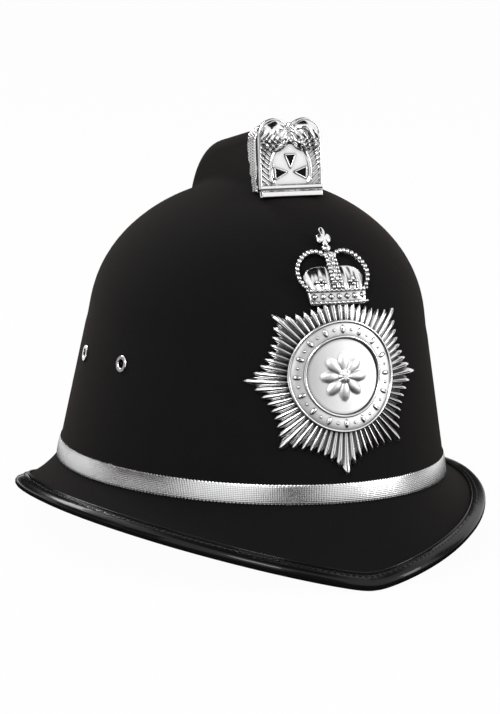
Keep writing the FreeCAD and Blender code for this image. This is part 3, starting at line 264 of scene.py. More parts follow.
def axes_on(place, a, b, spin=0, step=0.05):
    """Axes at points of a surface: along it, turned by a spin, across it and outwards."""
    along = unit(place(a + step, b) - place(a - step, b))
    normal = unit(np.cross(along, place(a, b + step) - place(a, b - step)))
    across = np.cross(normal, along)
    cosine, sine = math.cos(spin), math.sin(spin)
    axes = [along * cosine + across * sine, across * cosine - along * sine, normal]
    return np.stack(axes, axis=-2)


print("mesh helpers ready")

# %% [markdown]
# ## Finishes
# Real surfaces differ in three quiet ways: their colour drifts, their gloss drifts, and they have
# grain. One node group does all three from noise. A second sets threads in rows and columns for
# woven pieces, and paints shade into the gaps between them.

# %% Shared node groups
def connect(tree, inputs, given):
    """Gives each named input a link from a socket, or a plain value."""
    for label, value in given.items():
        if isinstance(value, bpy.types.NodeSocket):
            tree.links.new(value, inputs[label])
        else:
            inputs[label].default_value = value


def add_node(tree, kind, given, **settings):
    """Outputs of a new node."""
    node = tree.nodes.new("ShaderNode" + kind)
    for label, value in settings.items():
        setattr(node, label, value)
    connect(tree, node.inputs, given)
    return node.outputs


def math_node(tree, operation, *values):
    """Output of a maths node."""
    return add_node(tree, "Math", dict(enumerate(values)), operation=operation)[0]


def mix_color(tree, factor, first, second):
    """Blend of two colour sockets by a mask."""
    return add_node(tree, "Mix", {"Factor": factor, "A": first, "B": second},
                    data_type="RGBA")["Result"]


def new_group(name, floats, colours, vectors=()):
    """Shader group with named inputs that puts out a colour, a roughness and a normal. The answer
    is the group, what it is given and what it puts out."""
    group = bpy.data.node_groups.new(name, "ShaderNodeTree")
    for kind, labels in (("Float", floats), ("Color", colours), ("Vector", vectors)):
        for label in labels:
            group.interface.new_socket(name=label, in_out="INPUT", socket_type="NodeSocket" + kind)
    for kind, label in (("Color", "Colour"), ("Float", "Roughness"), ("Vector", "Normal")):
        group.interface.new_socket(name=label, in_out="OUTPUT", socket_type="NodeSocket" + kind)
    start = group.nodes.new("NodeGroupInput")
    end = group.nodes.new("NodeGroupOutput")
    return group, start.outputs, end.inputs


def make_grain():
    """Grain: fine noise drives the bump, and a broad noise drifts colour and roughness."""
    group, given, result = new_group("grain", ("Scale", "Depth", "Strength", "Roughness",
                                               "Roughness drift"), ("Colour", "Drift"))
    place = add_node(group, "TexCoord", {})["Object"]
    fine = add_node(group, "TexNoise", {"Vector": place, "Detail": 3,
                                        "Scale": given["Scale"]})["Fac"]
    slow = math_node(group, "MULTIPLY", given["Scale"], 0.06)
    broad = add_node(group, "TexNoise", {"Vector": place, "Scale": slow})["Fac"]
    bump = add_node(group, "Bump", {"Strength": given["Strength"], "Distance": given["Depth"],
                                    "Height": fine})
    both = math_node(group, "MULTIPLY_ADD", broad, 0.5, math_node(group, "MULTIPLY", fine, 0.5))
    lift = math_node(group, "SUBTRACT", both, 0.5)
    connect(group, result, {
        "Colour": mix_color(group, both, given["Colour"], given["Drift"]),
        "Roughness": math_node(group, "MULTIPLY_ADD", lift, given["Roughness drift"],
                               given["Roughness"]),
        "Normal": bump["Normal"]})
    return group


def make_weave():
    """Weave: a train of waves along the ribbon and a weaker one across it, added, so that the
    threads stand in columns of dots. The colour darkens towards the low gaps between threads, which
    is painted shade."""
    group, given, result = new_group("weave", ("Threads", "Depth", "Roughness"), ("Thread", "Gap shade"),
                                     ("Vector",))
    parts = add_node(group, "SeparateXYZ", {0: given["Vector"]})
    turn = math_node(group, "MULTIPLY", given["Threads"], 2 * math.pi)
    height = 0.5
    for axis, share in (("X", 0.28), ("Y", 0.22)):
        wave = math_node(group, "SINE", math_node(group, "MULTIPLY", parts[axis], turn))
        height = math_node(group, "MULTIPLY_ADD", wave, share, height)
    slow = add_node(group, "TexNoise", {"Vector": given["Vector"], "Scale": 160})["Fac"]
    bump = add_node(group, "Bump", {"Strength": 0.7, "Distance": given["Depth"], "Height": height})
    # Painted shade: the colour moves from the thread colour to the dark gap colour where the weave
    # is low.
    painted_shade_mask = math_node(group, "POWER", height, 0.45)
    connect(group, result, {
        "Colour": mix_color(group, painted_shade_mask, given["Gap shade"], given["Thread"]),
        "Roughness": math_node(group, "MULTIPLY_ADD", slow, 0.15, given["Roughness"]),
        "Normal": bump["Normal"]})
    return group


grain = make_grain()
weave = make_weave()
print("node groups:", grain.name, "and", weave.name)

# %% [markdown]
# ## Materials
# Each finish is a Principled shader with its constant values, and a group gives what changes over
# the surface. Napped cloth needs sheen, patent leather a clear coat, and silver plate gets painted
# shade in its hollows.

# %% Material makers
def new_material(name, **constants):
    """Material with a Principled shader and its constant values."""
    material = bpy.data.materials.new(name)
    material.use_nodes = True
    tree = material.node_tree
    shader = tree.nodes["Principled BSDF"]
    connect(tree, shader.inputs, {label.replace("_", " "): constants[label] for label in constants})
    return material, tree, shader


def from_group(name, group, given, source=None, **constants):
    """Material whose colour, roughness and normal come from a group, with its own values."""
    material, tree, shader = new_material(name, **constants)
    made = add_node(tree, "Group", given, node_tree=group)
    if source:
        vector = made[0].node.inputs["Vector"]
        tree.links.new(add_node(tree, "TexCoord", {})[source], vector)
    connect(tree, shader.inputs, {"Base Color": made["Colour"], "Roughness": made["Roughness"],
                                  "Normal": made["Normal"]})
    return material


def grained(name, colour, drift, roughness, scale, depth, strength=0.5, roughness_drift=0.15,
            **constants):
    """Material from the grain group."""
    return from_group(name, grain, {
        "Scale": scale, "Depth": depth, "Strength": strength, "Colour": (*colour, 1),
        "Drift": (*drift, 1), "Roughness": roughness, "Roughness drift": roughness_drift,
    }, **constants)


def woven(name, thread, gap_shade, roughness, threads, depth, source="UV", **constants):
    """Material from the weave group, laid by texture or object coordinates; its gap colour is
    painted shade between the threads.
    """
    return from_group(name, weave, {
        "Threads": threads, "Depth": depth, "Thread": (*thread, 1), "Gap shade": (*gap_shade, 1),
        "Roughness": roughness}, source, **constants)


def plated(name, roughness, painted_hollow_shade, reach, scale=500, depth=0.00003):
    """Silver plate: the grain group, with painted shade in its hollows, darkest where they see
    little open space.
    """
    material = grained(name, (0.93, 0.93, 0.93), (0.86, 0.86, 0.87), roughness, scale, depth,
                       strength=0.4, roughness_drift=0.08, Metallic=1)
    tree = material.node_tree
    target = tree.nodes["Principled BSDF"].inputs["Base Color"]
    # Painted shade: the base colour is mixed towards a dark colour in hollows that see little open
    # space.
    space = add_node(tree, "AmbientOcclusion", {"Distance": reach})["AO"]
    dark = tree.nodes.new("ShaderNodeRGB").outputs[0]
    dark.default_value = (painted_hollow_shade, painted_hollow_shade * 0.96, painted_hollow_shade * 0.94, 1)
    painted_shade_mask = math_node(tree, "POWER", space, 2)
    tree.links.new(mix_color(tree, painted_shade_mask, dark, target.links[0].from_socket), target)
    return material


nap = grained("black_nap", (0.0045, 0.0044, 0.0046), (0.0085, 0.008, 0.008), 0.92, 1500, 0.0003,
              strength=0.6, Sheen_Weight=0.04, Sheen_Roughness=0.4,
              Sheen_Tint=(0.85, 0.62, 0.52, 1), Specular_IOR_Level=0.1)
lining_cloth = grained("black_lining", (0.01, 0.01, 0.011), (0.02, 0.02, 0.021), 0.85, 900,
                       0.0002, Sheen_Weight=0.1, Specular_IOR_Level=0.2)
patent = grained("black_patent", (0.004, 0.004, 0.0045), (0.008, 0.008, 0.008), 0.25, 260, 0.0002,
                 strength=0.35, Coat_Weight=0.3, Coat_Roughness=0.04, Specular_IOR_Level=0.1)
# The second colour of a woven finish is painted shade in the gaps between its threads.
silver_ribbon = woven("silver_ribbon", (0.92, 0.92, 0.93), (0.24, 0.24, 0.25), 0.18, 1050,
                      0.00007, Metallic=1)
# The third number of each plate is the dark colour of its painted shade in the hollows.
polished = plated("polished_plate", 0.13, 0.03, 0.003)
satin = plated("satin_plate", 0.42, 0.1, 0.002, scale=1700, depth=0.00012)
eyelet_metal = plated("eyelet_plate", 0.16, 0.1, 0.002)
plain_steel = grained("plain_steel", (0.5, 0.5, 0.52), (0.42, 0.42, 0.44), 0.35, 300, 0.00005,
                      Metallic=1)
moulded = grained("moulded_black", (0.03, 0.03, 0.032), (0.045, 0.045, 0.047), 0.5, 700, 0.0001)
nylon = grained("black_nylon", (0.02, 0.02, 0.021), (0.03, 0.03, 0.031), 0.42, 500, 0.00008)
brown_leather = grained("brown_leather", (0.09, 0.055, 0.038), (0.055, 0.034, 0.024), 0.5, 420,
                        0.0003)
black_leather = grained("black_leather", (0.012, 0.012, 0.012), (0.025, 0.024, 0.022), 0.42, 450,
                        0.0003)
cork = grained("cork_block", (0.5, 0.34, 0.19), (0.3, 0.19, 0.1), 0.85, 350, 0.0004)
# Its second colour is painted shade between the threads.
webbing = woven("black_webbing", (0.035, 0.035, 0.037), (0.008, 0.008, 0.008), 0.75, 700, 0.0003,
                source="Object")
thread = grained("black_thread", (0.015, 0.015, 0.016), (0.03, 0.03, 0.03), 0.55, 2000, 0.0001)
print("materials:", len(bpy.data.materials))

# %% [markdown]
# ## Parts that keep their shape
# Rigid parts such as the shell and the buckle only get their finish. Parts of cloth or leather
# shouldn't have a machined solid's hard edges: they are copied, welded, softened and shown instead
# of the solid.

# %% Rigid parts and softened copies
body_of_node = {node: body for body, members in frame["record"]["behaviour"]["bodies"].items()
                for node in members}


def finish_nodes(material, *names):
    """Gives the frame's own parts a finish."""
    for name in names:
        nodes[name].data.materials.clear()
        nodes[name].data.materials.append(material)


def soft_copy(node, material, edge=0.3, crease=35):
    """Welded copy of a part, with its sharp edges rounded by a narrow bevel."""
    mesh = nodes[node].data.copy()
    piece = finish_mesh(mesh, node + "_soft", body_of_node[node], material)
    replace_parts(piece, node)
    if edge:
        bevel = piece.modifiers.new("soft edge", "BEVEL")
        bevel.width = edge * MM
        bevel.segments = render_levels + 1
        bevel.limit_method = "ANGLE"
        bevel.angle_limit = math.radians(crease)
        bevel.harden_normals = False
    piece.data.set_sharp_from_angle(angle=math.radians(crease))


finish_nodes(moulded, "shell", "headband")
finish_nodes(eyelet_metal, "vent_eyelets_right", "vent_eyelets_left", "eyelet_washers_right",
             "eyelet_washers_left")
finish_nodes(plain_steel, "badge_lugs", "badge_split_pins", "comb_mount_studs", "comb_mount_nuts",
             "headband_rivets", "anchor_rivets", "strap_pivot_right", "strap_pivot_left",
             "strap_buckle", "buckle_prong")
finish_nodes(nylon, "strap_anchor_right", "strap_anchor_left")
finish_nodes(polished, "comb_mount")
finish_nodes(cork, "headband_spacers")
soft_copy("cloth_cover", nap, edge=0)
soft_copy("brim_lining", lining_cloth, edge=0)
soft_copy("brim_binding", patent, edge=0, crease=50)
soft_copy("badge_washers", brown_leather)
soft_copy("cradle_tapes", webbing, edge=0.2)
soft_copy("crown_disc", webbing)
soft_copy("chin_strap_long", black_leather)
soft_copy("chin_strap_short", black_leather, edge=0.2)
soft_copy("strap_keeper", black_leather, edge=0.15)

# %% [markdown]
# ## The hat band
# The ribbon is woven from flat silver thread, with a row of tiny loops along each edge. Its
# section is a low cushion, carried round the crown's oval, and the loops are a ripple of its edge,
# so that they show in the outline.

# %% The ribbon
ribbon_ripples = 340
ribbon_loop = 0.28
ribbon_round = 110           # length of the ribbon for each radian round the crown


def ribbon_grid(count=ribbon_ripples * 6, rows=13):
    """Section down the outer face and back up the inner one: the height is a cosine, so points
    crowd at the edges, and the thickness is a flattened half wave."""
    section = turns(2 * rows)[None, :]
    angle = turns(count)[:, None]
    share = 0.5 - 0.5 * np.cos(section)
    ripple = ribbon_loop * np.cos(ribbon_ripples * angle)
    middle, half = (ribbon_low + ribbon_high) / 2, (ribbon_high - ribbon_low) / 2 - ribbon_loop
    z = middle + (half + ripple * np.abs(np.cos(section)) ** 6) * np.cos(section)
    swell = 0.45 + 0.35 * np.clip(np.sin(section), -1, 1)
    wave = 0.06 * np.sin(7 * angle + 1) * np.sin(np.pi * share)
    points = lifted(crown_ring, angle, z, swell + wave)
    return points, np.stack([np.broadcast_to(angle * ribbon_round, z.shape), z], axis=-1) * MM


ribbon_points, ribbon_uv = ribbon_grid()
ribbon = surface("silver_band", ribbon_points, silver_ribbon, ribbon_uv)
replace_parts(ribbon, "hat_band")
print("ribbon:", len(ribbon.data.polygons), "faces")

# %% [markdown]
# ## The star
# The plate's sixty-four rays are like slim fingers, each round across and closed by a deep valley,
# and eight of them reach further. In polar coordinates that is one formula: outline and height
# both depend on where a point lies across its ray.

# %% The rayed star
plate_level = 103.3
star_level = 101             # the star hangs a little lower than the ring
star_radius = 47.5
star_valley = 39.5
star_rays = 64
main_points = 8
tip_depth = 3.6              # how far the outline falls back between two tips
flute_start, flute_run = 17, 9
plate_gap = 0.3
crown_base = 139
foot_level, foot_lift = 59, 0.9  # below this level the cloth spreads, and the tips clear it


def plate(name, points, finish=polished):
    """Plated piece from a grid."""
    return surface(name, points, finish)


def polar(reach, angle, level=plate_level):
    """Across and up, from a distance and a turn, counted from straight below a middle."""
    return reach * np.sin(angle), level - reach * np.cos(angle)


def star_reach(angle):
    """Length of the rays at each angle: longest at the eight main points, and rounded at each tip
    by a power of the distance from the ray's middle."""
    ray = angle / (2 * np.pi) * star_rays
    across = 2 * np.abs(ray - np.round(ray))
    nearest = (np.round(ray) / star_rays * main_points) % 1
    short = np.sin((1 - np.abs(2 * nearest - 1)) * np.pi / 2) ** 0.7
    reach = star_radius - (star_radius - star_valley) * short
    return reach - tip_depth * across ** 1.8, across


def star_grid(columns=star_rays * 14, rows=26):
    """Front from the middle to the tips, then the back. Its height is a sum: the plate, the
    flutes, a low dome and a fall at the edge."""
    angle = turns(columns)[None, :]
    reach, across = star_reach(angle)
    under_crown = (crown_base + 4.5 - star_level) / np.maximum(np.cos(angle - np.pi), 1e-3)
    narrow = np.abs(reach * np.sin(angle)) < 15
    reach = np.where(narrow & (np.cos(angle) < 0), np.minimum(reach, under_crown), reach)
    share = np.linspace(0, 1, rows)[:, None] ** 0.7
    radius = share * reach
    depth = clamp((radius - flute_start) / flute_run)
    fall = 1 - 0.6 * clamp((share - 0.9) / 0.1) ** 2
    height = 1.5 + depth * (1.7 * (1 - across ** 2) - 0.8)
    height = height + 0.5 * clamp(1 - radius / 46)
    edge = plate_gap + 0.25
    height = edge + (height - edge) * (0.35 + 0.65 * fall)
    x, z = polar(radius, angle, star_level)
    height = height + foot_lift * clamp((foot_level - z) / 5)
    front = on_front(x, z, height)
    return join([front, on_front(x, z, plate_gap)[::-1]])


star = plate("rayed_star", star_grid())
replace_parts(star, "badge_star")
print("star:", len(star.data.polygons), "faces")

# %% [markdown]
# ## Ring and centre
# A turned ring is a section carried round a circle, which here bends with the crown. The field is
# satin and holds a row of lozenges and pellets, an old border pattern. The middle holds a rosette.

# %% The ring, its border and the rosette
ring_floor = 1.6
ring_face = 3.3
border_count = 32
border_middle = (27 + 20.8) / 2


def round_plate(radii, heights, columns=180):
    """A section of (radius, height) points carried round the plate's middle on the crown."""
    radius, height = (np.asarray(values, float)[:, None] for values in (radii, heights))
    return on_front(*polar(radius, turns(columns)[None, :]), height)


def rim_section(radius, half, top):
    """Radii and heights of a half round bead on the ring's floor."""
    arc = np.linspace(0, np.pi, 9)
    radii = join([[radius + half], radius + half * np.cos(arc), [radius - half, radius + half]])
    heights = join([[ring_floor], top - half + half * np.sin(arc), [ring_floor, ring_floor]])
    return radii, heights


def rosette_grid(columns=192, rows=30, petals=8, radius=12.5):
    """Flat floor with petals, whose outline swings with the cosine of the angle and whose face is
    a creased cushion."""
    angle = turns(columns)[None, :]
    reach = np.linspace(0, 19.4, rows)[:, None]
    swing = np.abs(np.cos(petals * angle / 2))
    outline = radius * (0.62 + 0.38 * swing)
    inside = clamp(1 - (reach / outline) ** 4)
    height = 2.5 + inside * (0.5 + 1.1 * np.sqrt(swing) * clamp(reach / 7))
    height = height + 1.5 * root(1 - (reach / 3) ** 2)
    x, z = polar(reach, angle)
    return join([on_front(x, z, height), on_front(x, z, ring_floor)[::-1]])


def on_plate(radius, angle):
    """Point of the crown's front at a distance and a turn from the plate's middle."""
    return crown_front(*polar(radius, angle))


field = round_plate([28.3, 28, 27.4, 20.5, 19.8, 19.4, 19.4, 28.3],
                    [1.6, 3, ring_face, ring_face, 3, 2, 1.6, 1.6])
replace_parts(plate("ring_field", field, satin), "badge_ring")
plate("ring_outer_rim", round_plate(*rim_section(27.7, 0.75, 4.1)))
plate("ring_inner_rim", round_plate(*rim_section(20.1, 0.7, 4)))
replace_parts(plate("centre_rosette", rosette_grid(), satin), "badge_centre")
border_angle = turns(border_count)[:-1]
border_even = np.arange(border_count) % 2 == 0
border_size = np.where(border_even[:, None], [[1.25, 2.4, 0.75]], [[0.8, 0.8, 0.7]])
border_axes = axes_on(on_plate, border_middle, border_angle, spin=math.pi / 2)
border_centres = on_plate(border_middle, border_angle) + border_axes[:, 2] * ring_face
scattered("ring_border", pebble(8, 6), border_centres, border_axes, border_size, polished)
print("ring border:", len(border_centres), "pieces")

# %% [markdown]
# ## Crown above the star
# The little crown has pearls along its arches, stones in its band and small crosses on the rim.
# Each pearl is the same unit sphere, moved and scaled as one array, in a single mesh however many
# there are.

# %% Pearls, stones and crosses
arch_height = 2.9
stone_level = 142.7
rim_level = 146.2
top_level = 169.2


def arch_path(side, count):
    """Centre line of an outer arch: the cubic through its foot, widest point, shoulder and the
    middle."""
    corners = np.array([[13.9, 145.5], [18, 156], [10.6, 162.4], [0.6, 159.6]])
    lengths = join([[0], np.cumsum(np.linalg.norm(np.diff(corners, axis=0), axis=1))])
    place = np.linspace(0, lengths[-1], count)
    fitted = [np.polyval(np.polyfit(lengths, corners[:, k], 3), place) for k in (0, 1)]
    return side * fitted[0], fitted[1]


def pearls(name, x, z, size, height, small=pebble()):
    """Row of pearls on the crown's front."""
    x, z = np.broadcast_arrays(x, z)
    scattered(name, small, on_front(x, z, height), axes_on(crown_front, x, z), size,
              polished)


def front_bar(name, x, z, height, radius, sides):
    """Round bar along a path on the crown's front."""
    plate(name, tube(on_front(x, z, height), radius, sides))


def band_grid(columns=61):
    """Band of the crown: a low box that widens upwards, its section carried across the front."""
    across = np.linspace(-1, 1, columns)[:, None]
    level = np.array([138.9, 138.9, 139.3, 146, 146.4, 146.4, 138.9])[None, :]
    height = np.array([1.6, 2.9, 3.2, 3.2, 2.9, 1.6, 1.6])[None, :]
    edge = np.where(np.abs(across) > 0.985, 1.6, height)
    x = across * (15 + 1.2 * (level - crown_base) / 7)
    return on_front(x, level, np.minimum(height, edge))


def cap_grid(side, columns=49, rows=33):
    """Half of the soft cap: a swelling between band and arch, in folds that spread from its foot,
    closed by a flat back."""
    upward, across = shares(rows, columns)
    x = side * (1.2 + (13.4 + 2.2 * upward ** 0.6) * across)
    z = 145.6 + 11.4 * (1 - 0.5 * across ** 5) * upward
    swell = np.sqrt(clamp(1 - (2 * across - 1) ** 4) * clamp(1 - upward ** 3))
    fold = np.cos(2 * np.pi * (3.5 * across + 0.25 * upward)) * (1 - 0.7 * upward)
    return closed_round(on_front(x, z, 1.9 + swell * (1.9 + 0.35 * fold)), on_front(x, z, 1.8))


def cross_grid(columns=96, rows=12):
    """Small cushion cross whose reach swings with the cosine of twice the angle. It stands more
    upright than the crown behind."""
    angle = turns(columns)[None, :]
    share = np.linspace(0, 1, rows)[:, None]
    reach = 3.9 * (0.34 + 0.66 * np.abs(np.cos(2 * angle)) ** 0.7)
    x, z = polar(share * reach, angle, top_level - 1)
    lean = 0.42 * (z - 164.3)
    return join([on_front(x, z, 2 + np.sqrt(1 - share ** 4) + lean),
                 on_front(x, z, 1.2 + lean)[::-1]])


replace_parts(plate("crown_band", band_grid()), "badge_crown")
middle_z = np.linspace(147, 160.5, 9)
for label, path, radius in (("left", arch_path(1, 60), 1), ("right", arch_path(-1, 60), 1),
                            ("middle", (0 * middle_z, middle_z), 2.1)):
    front_bar("arch_bar_" + label, *path, arch_height - 0.5, radius, 10)
left_x, left_z = arch_path(1, 16)
right_x, right_z = arch_path(-1, 16)
pearls("arch_pearls", join([left_x, right_x, 0 * middle_z - 2, 0 * middle_z + 2]),
       join([left_z, right_z, middle_z, middle_z]), [1.3, 1.3, 1.2], arch_height + 0.4)
pearls("middle_stones", 0, middle_z[::2], [1.3, 1.7, 1.3], arch_height + 1.2)
edge_x = np.linspace(-15.2, 15.2, 14)
pearls("band_pearls", join([edge_x * 0.985, edge_x * 1.05]),
       join([0 * edge_x + 139.8, 0 * edge_x + 145.6]), [0.75, 0.75, 0.7], 3.8)
stone_x = np.linspace(-12.9, 12.9, 7)
pearls("band_stones", stone_x[::2], stone_level, [2.2, 1.9, 1.5], 3.1, pebble(4, 2))
pearls("band_ovals", stone_x[1::2], stone_level, [1.6, 1.7, 1.5], 3.1)
cross_x = np.array([-8.6, 0, 8.6])
cross_parts = [(0, 1.6, 1.3, 0.9), (0, 4, 1, 1.5), (-1.7, 2.8, 1.4, 0.9), (1.7, 2.8, 1.4, 0.9)]
for number, (dx, dz, wide, tall) in enumerate(cross_parts):
    pearls(f"rim_crosses_{number}", cross_x + dx, rim_level + dz, [wide, tall, 0.9], 4.3)
for side, label in side_names.items():
    plate("cap_velvet_" + label, cap_grid(side))
band_line = np.linspace(-1, 1, 25)
for label, level, reach in (("low", 139.8, 15.2), ("high", 145.4, 16)):
    front_bar("band_bead_" + label, reach * band_line, level, 3.2, 0.75, 8)
orb_z = np.array([-4.6, -7.4]) + top_level
pearls("top_orb", 0, orb_z, [[2.6, 2.3, 1.9], [4.4, 1.5, 1.9]], 2.3, pebble(16, 12))
plate("top_cross", cross_grid())
print("crown pieces set")

# %% [markdown]
# ## The mount on the comb
# The silver mount wraps the front of the comb. Raised rims run round its three piercings, a
# hatched leaf lies between its two lobes, and its flanks are cut like feathers. It has its own
# flat frame: across, up and outwards.

# %% Relief of the comb mount
mount_foot = np.array([0, -41.6, 191])
mount_up = np.array([0, 0.11, 1]) / math.hypot(0.11, 1)
mount_out = np.array([0, -mount_up[2], mount_up[1]])
mount_face = 3
mount_half, mount_low, notch_level = 17.7, -3.9, 33.4
shoulder_x, shoulder_y, shoulder_radius = 8.75, 28.7, 8.95
dome_radius, dome_sunk = 12.08, 8.35
rim_radius, rim_width = 11.6, 0.85
pierce_middle = 9.7          # height of the point where the three piercings meet
pierce_turns = (90, 184, -4)
lobe_path = np.array([[4.2, 33.4, 1.6], [8.2, 34.2, 2.7], [12, 32, 3.3], [14.2, 27.2, 3],
                      [15.3, 21.5, 2.2], [16, 16, 1.4], [16.4, 11, 0.7]])


def on_mount(x, y, height):
    """Point in the mount's frame: foot plus across, up and outward steps."""
    x, y, height = np.broadcast_arrays(x, y, height)
    return (mount_foot + x[..., None] * np.array([1, 0, 0]) + y[..., None] * mount_up
            + height[..., None] * mount_out)


def lobe_height(x, y):
    """Swelling over each shoulder with its tail down the side: the highest of many balls along a
    path, flattened to three quarters."""
    place = np.linspace(0, len(lobe_path) - 1, 70)
    marks = np.arange(len(lobe_path))
    rise = np.zeros_like(y)
    balls = [np.interp(place, marks, column) for column in lobe_path.T]
    for ball_x, ball_y, radius in zip(*balls):
        away = (x - ball_x) ** 2 + (y - ball_y) ** 2
        rise = np.maximum(rise, 0.75 * root(radius ** 2 - away))
    return rise


def mount_grid(columns=141, rows=181):
    """Front of the casting: its top edge follows the two shoulders, and its height is a sum of
    plinth, hatched border, round rim, two folded domes and two curled shoulders."""
    upward, across = shares(rows, columns, -1)
    x = mount_half * across
    side = np.abs(x)
    away = (side - shoulder_x) ** 2
    top = shoulder_y + root(shoulder_radius ** 2 - away)
    top = np.where(side < shoulder_x, np.maximum(top, notch_level), top)
    y = mount_low + (top - mount_low) * upward
    plinth = 1.2 * clamp((1.6 - y) / 1.6)
    plinth = plinth + 0.9 * root(1 - ((y + 2) / 1.8) ** 2)
    rise = y - pierce_middle
    reach = np.hypot(x, np.where(rise > 0, 0.72 * rise, rise))
    rim = 0.95 * np.exp(-((reach - rim_radius) / rim_width) ** 2) * (y > 4)
    border = (reach > rim_radius + 1) & (y > 1.8) & (y < 27)
    hatch = np.where(border, 0.5 * np.sin(2.3 * y - 1.9 * side), 0)
    apart = np.hypot(side - 8.7, y - 28.9)
    dome = root(dome_radius ** 2 - apart ** 2) - dome_sunk
    dome = np.clip(dome, 0, None)
    wave = 1 + np.sin(1.9 * side + 1.1 * y + 0.6 * np.sin(0.9 * y))
    fold = np.clip(0.5 * dome, 0, 0.4) * wave * clamp((33 - y) / 3)
    height = 3.15 + plinth + rim + hatch + dome + fold + 0.8 * lobe_height(side, y)
    edge = clamp(np.minimum(1 - np.abs(across), 1 - upward) / 0.035)
    edge = edge * clamp(upward / 0.02)
    height = 2 + (height - 2) * (0.4 + 0.6 * np.sqrt(1 - (1 - edge) ** 2))
    return closed_round(on_mount(x, y, height), on_mount(x, y, 1.6))


def pierced_path(turn):
    """Triangle whose tip points at the middle of the field, a dozen points a side."""
    angle = math.radians(turn)
    way = np.array([math.cos(angle), math.sin(angle)])
    side_way = np.array([-way[1], way[0]]) * 3.1
    start = np.array([0, pierce_middle])
    foot = start + way * 9
    corners = [start + way * 1.9, foot + side_way, foot - side_way]
    share = np.linspace(0, 1, 13)[:-1, None]
    return join([corners[k] * (1 - share) + corners[(k + 1) % 3] * share for k in range(3)])


def leaf_grid(columns=33, rows=49):
    """Leaf between the lobes: its half width is a sine over its length, its face a cushion with
    ridges that lean away from the midrib."""
    along, side = shares(rows, columns, -1)
    half = 4.4 * np.sin(np.pi * along ** 0.8) ** 0.8
    hatch = 0.22 * np.sin(34 * along + 9 * np.abs(side))
    height = mount_face - 0.4 + root(1 - side ** 2) * (1.3 + hatch)
    x, y = side * half, 25.2 + 10.4 * along
    return closed_round(on_mount(x, y, 1.2 + height), on_mount(x, y, mount_face - 0.8))


def flank_grid(side, columns=81, rows=121):
    """Flank of the casting: flat, then carried over the comb's round edge, with feathers in low
    waves and a scalloped rear edge. Its inner face lies a millimetre inside."""
    upward, backward = shares(rows, columns)
    climb = 36 * upward
    reach = 3.2 + 0.22 * climb + 0.9 * np.abs(np.sin(np.pi * 5 * upward))
    back = -1.2 + (reach + 1.2) * backward
    phase = (back + 0.2 * climb + 1.3 * np.sin(climb / 7)) / 2.7
    relief = 0.15 + np.abs(np.sin(np.pi * phase)) ** 0.7
    relief = relief + 0.1 * np.sin(2 * np.pi * (climb - back) / 1.5)
    rim = clamp(np.minimum(np.minimum(upward, 1 - upward) / 0.02,
                           np.minimum(backward, 1 - backward) / 0.06))
    curl_from, curl_radius = 26, 9.4
    curl = np.clip((climb - curl_from) / curl_radius, 0, None)
    ball = curl_radius + relief * np.sqrt(rim)
    flat = np.minimum(climb, curl_from) - 0.115 * back * (climb > 5) - 0.6
    x = side * (18 - curl_radius + ball * np.cos(curl))
    outer = on_mount(x, flat + ball * np.sin(curl), -back)
    return closed_round(outer, outer - np.array([side * 1, 0, 0]))


plate("mount_front", mount_grid())
edge_turn = np.linspace(0, 0.86 * np.pi, 30)
edge_x = join([np.full(20, 17.3), shoulder_x + 8.55 * np.cos(edge_turn)])
edge_y = join([np.linspace(0.2, 27.6, 20), 28.5 + 8.55 * np.sin(edge_turn)])
for side, label in side_names.items():
    plate("mount_edge_bead_" + label, tube(on_mount(side * edge_x, edge_y, mount_face), 0.95, 10))
ring_share = np.array([0, 1, 1, 0])[:, None, None]
ring_level = np.array([0.3, 0.3, 0, 0])[:, None]
for number, turn in enumerate(pierce_turns):
    path = pierced_path(turn)
    rim = on_mount(path[:, 0], path[:, 1], mount_face + 0.35)
    plate(f"pierced_rim_{number}", tube(rim, 0.5, 8, closed=True))
    middle = path.mean(axis=0)
    spread = middle + (join([path, path[:1]])[None] - middle) * ring_share
    cloth = on_mount(spread[..., 0], spread[..., 1], mount_face + ring_level)
    surface(f"pierced_cloth_{number}", cloth, nap)
plate("mount_leaf", leaf_grid())
for side, label in side_names.items():
    plate("mount_flank_" + label, flank_grid(side))
print("mount relief set")

# %% [markdown]
# ## The bound edge
# The brim's edge is bound in patent leather, with a fine cord along the binding and a row of
# stitches beside it. Both follow the brim's own formula: an oval behind and a pointed oval in
# front, sloping from the crown to its rim.

# %% Brim formula
brim_half_width, brim_half_length, brim_widest = 124, 153.6, 1.6
side_rise, front_peak_roundness = 25.4, 0.06
front_outline, rear_rise_power = 1.8, 2.2
brim_hollow, core = 2, 4
nose_radius = core / 2 + 1
binding_leg = 6.5
stitch_inset = binding_leg - 2.6


def power(value, exponent):
    """Sign of a cosine or sine, times its size to the power of two over the exponent."""
    return np.sign(value) * np.abs(value) ** (2 / exponent)


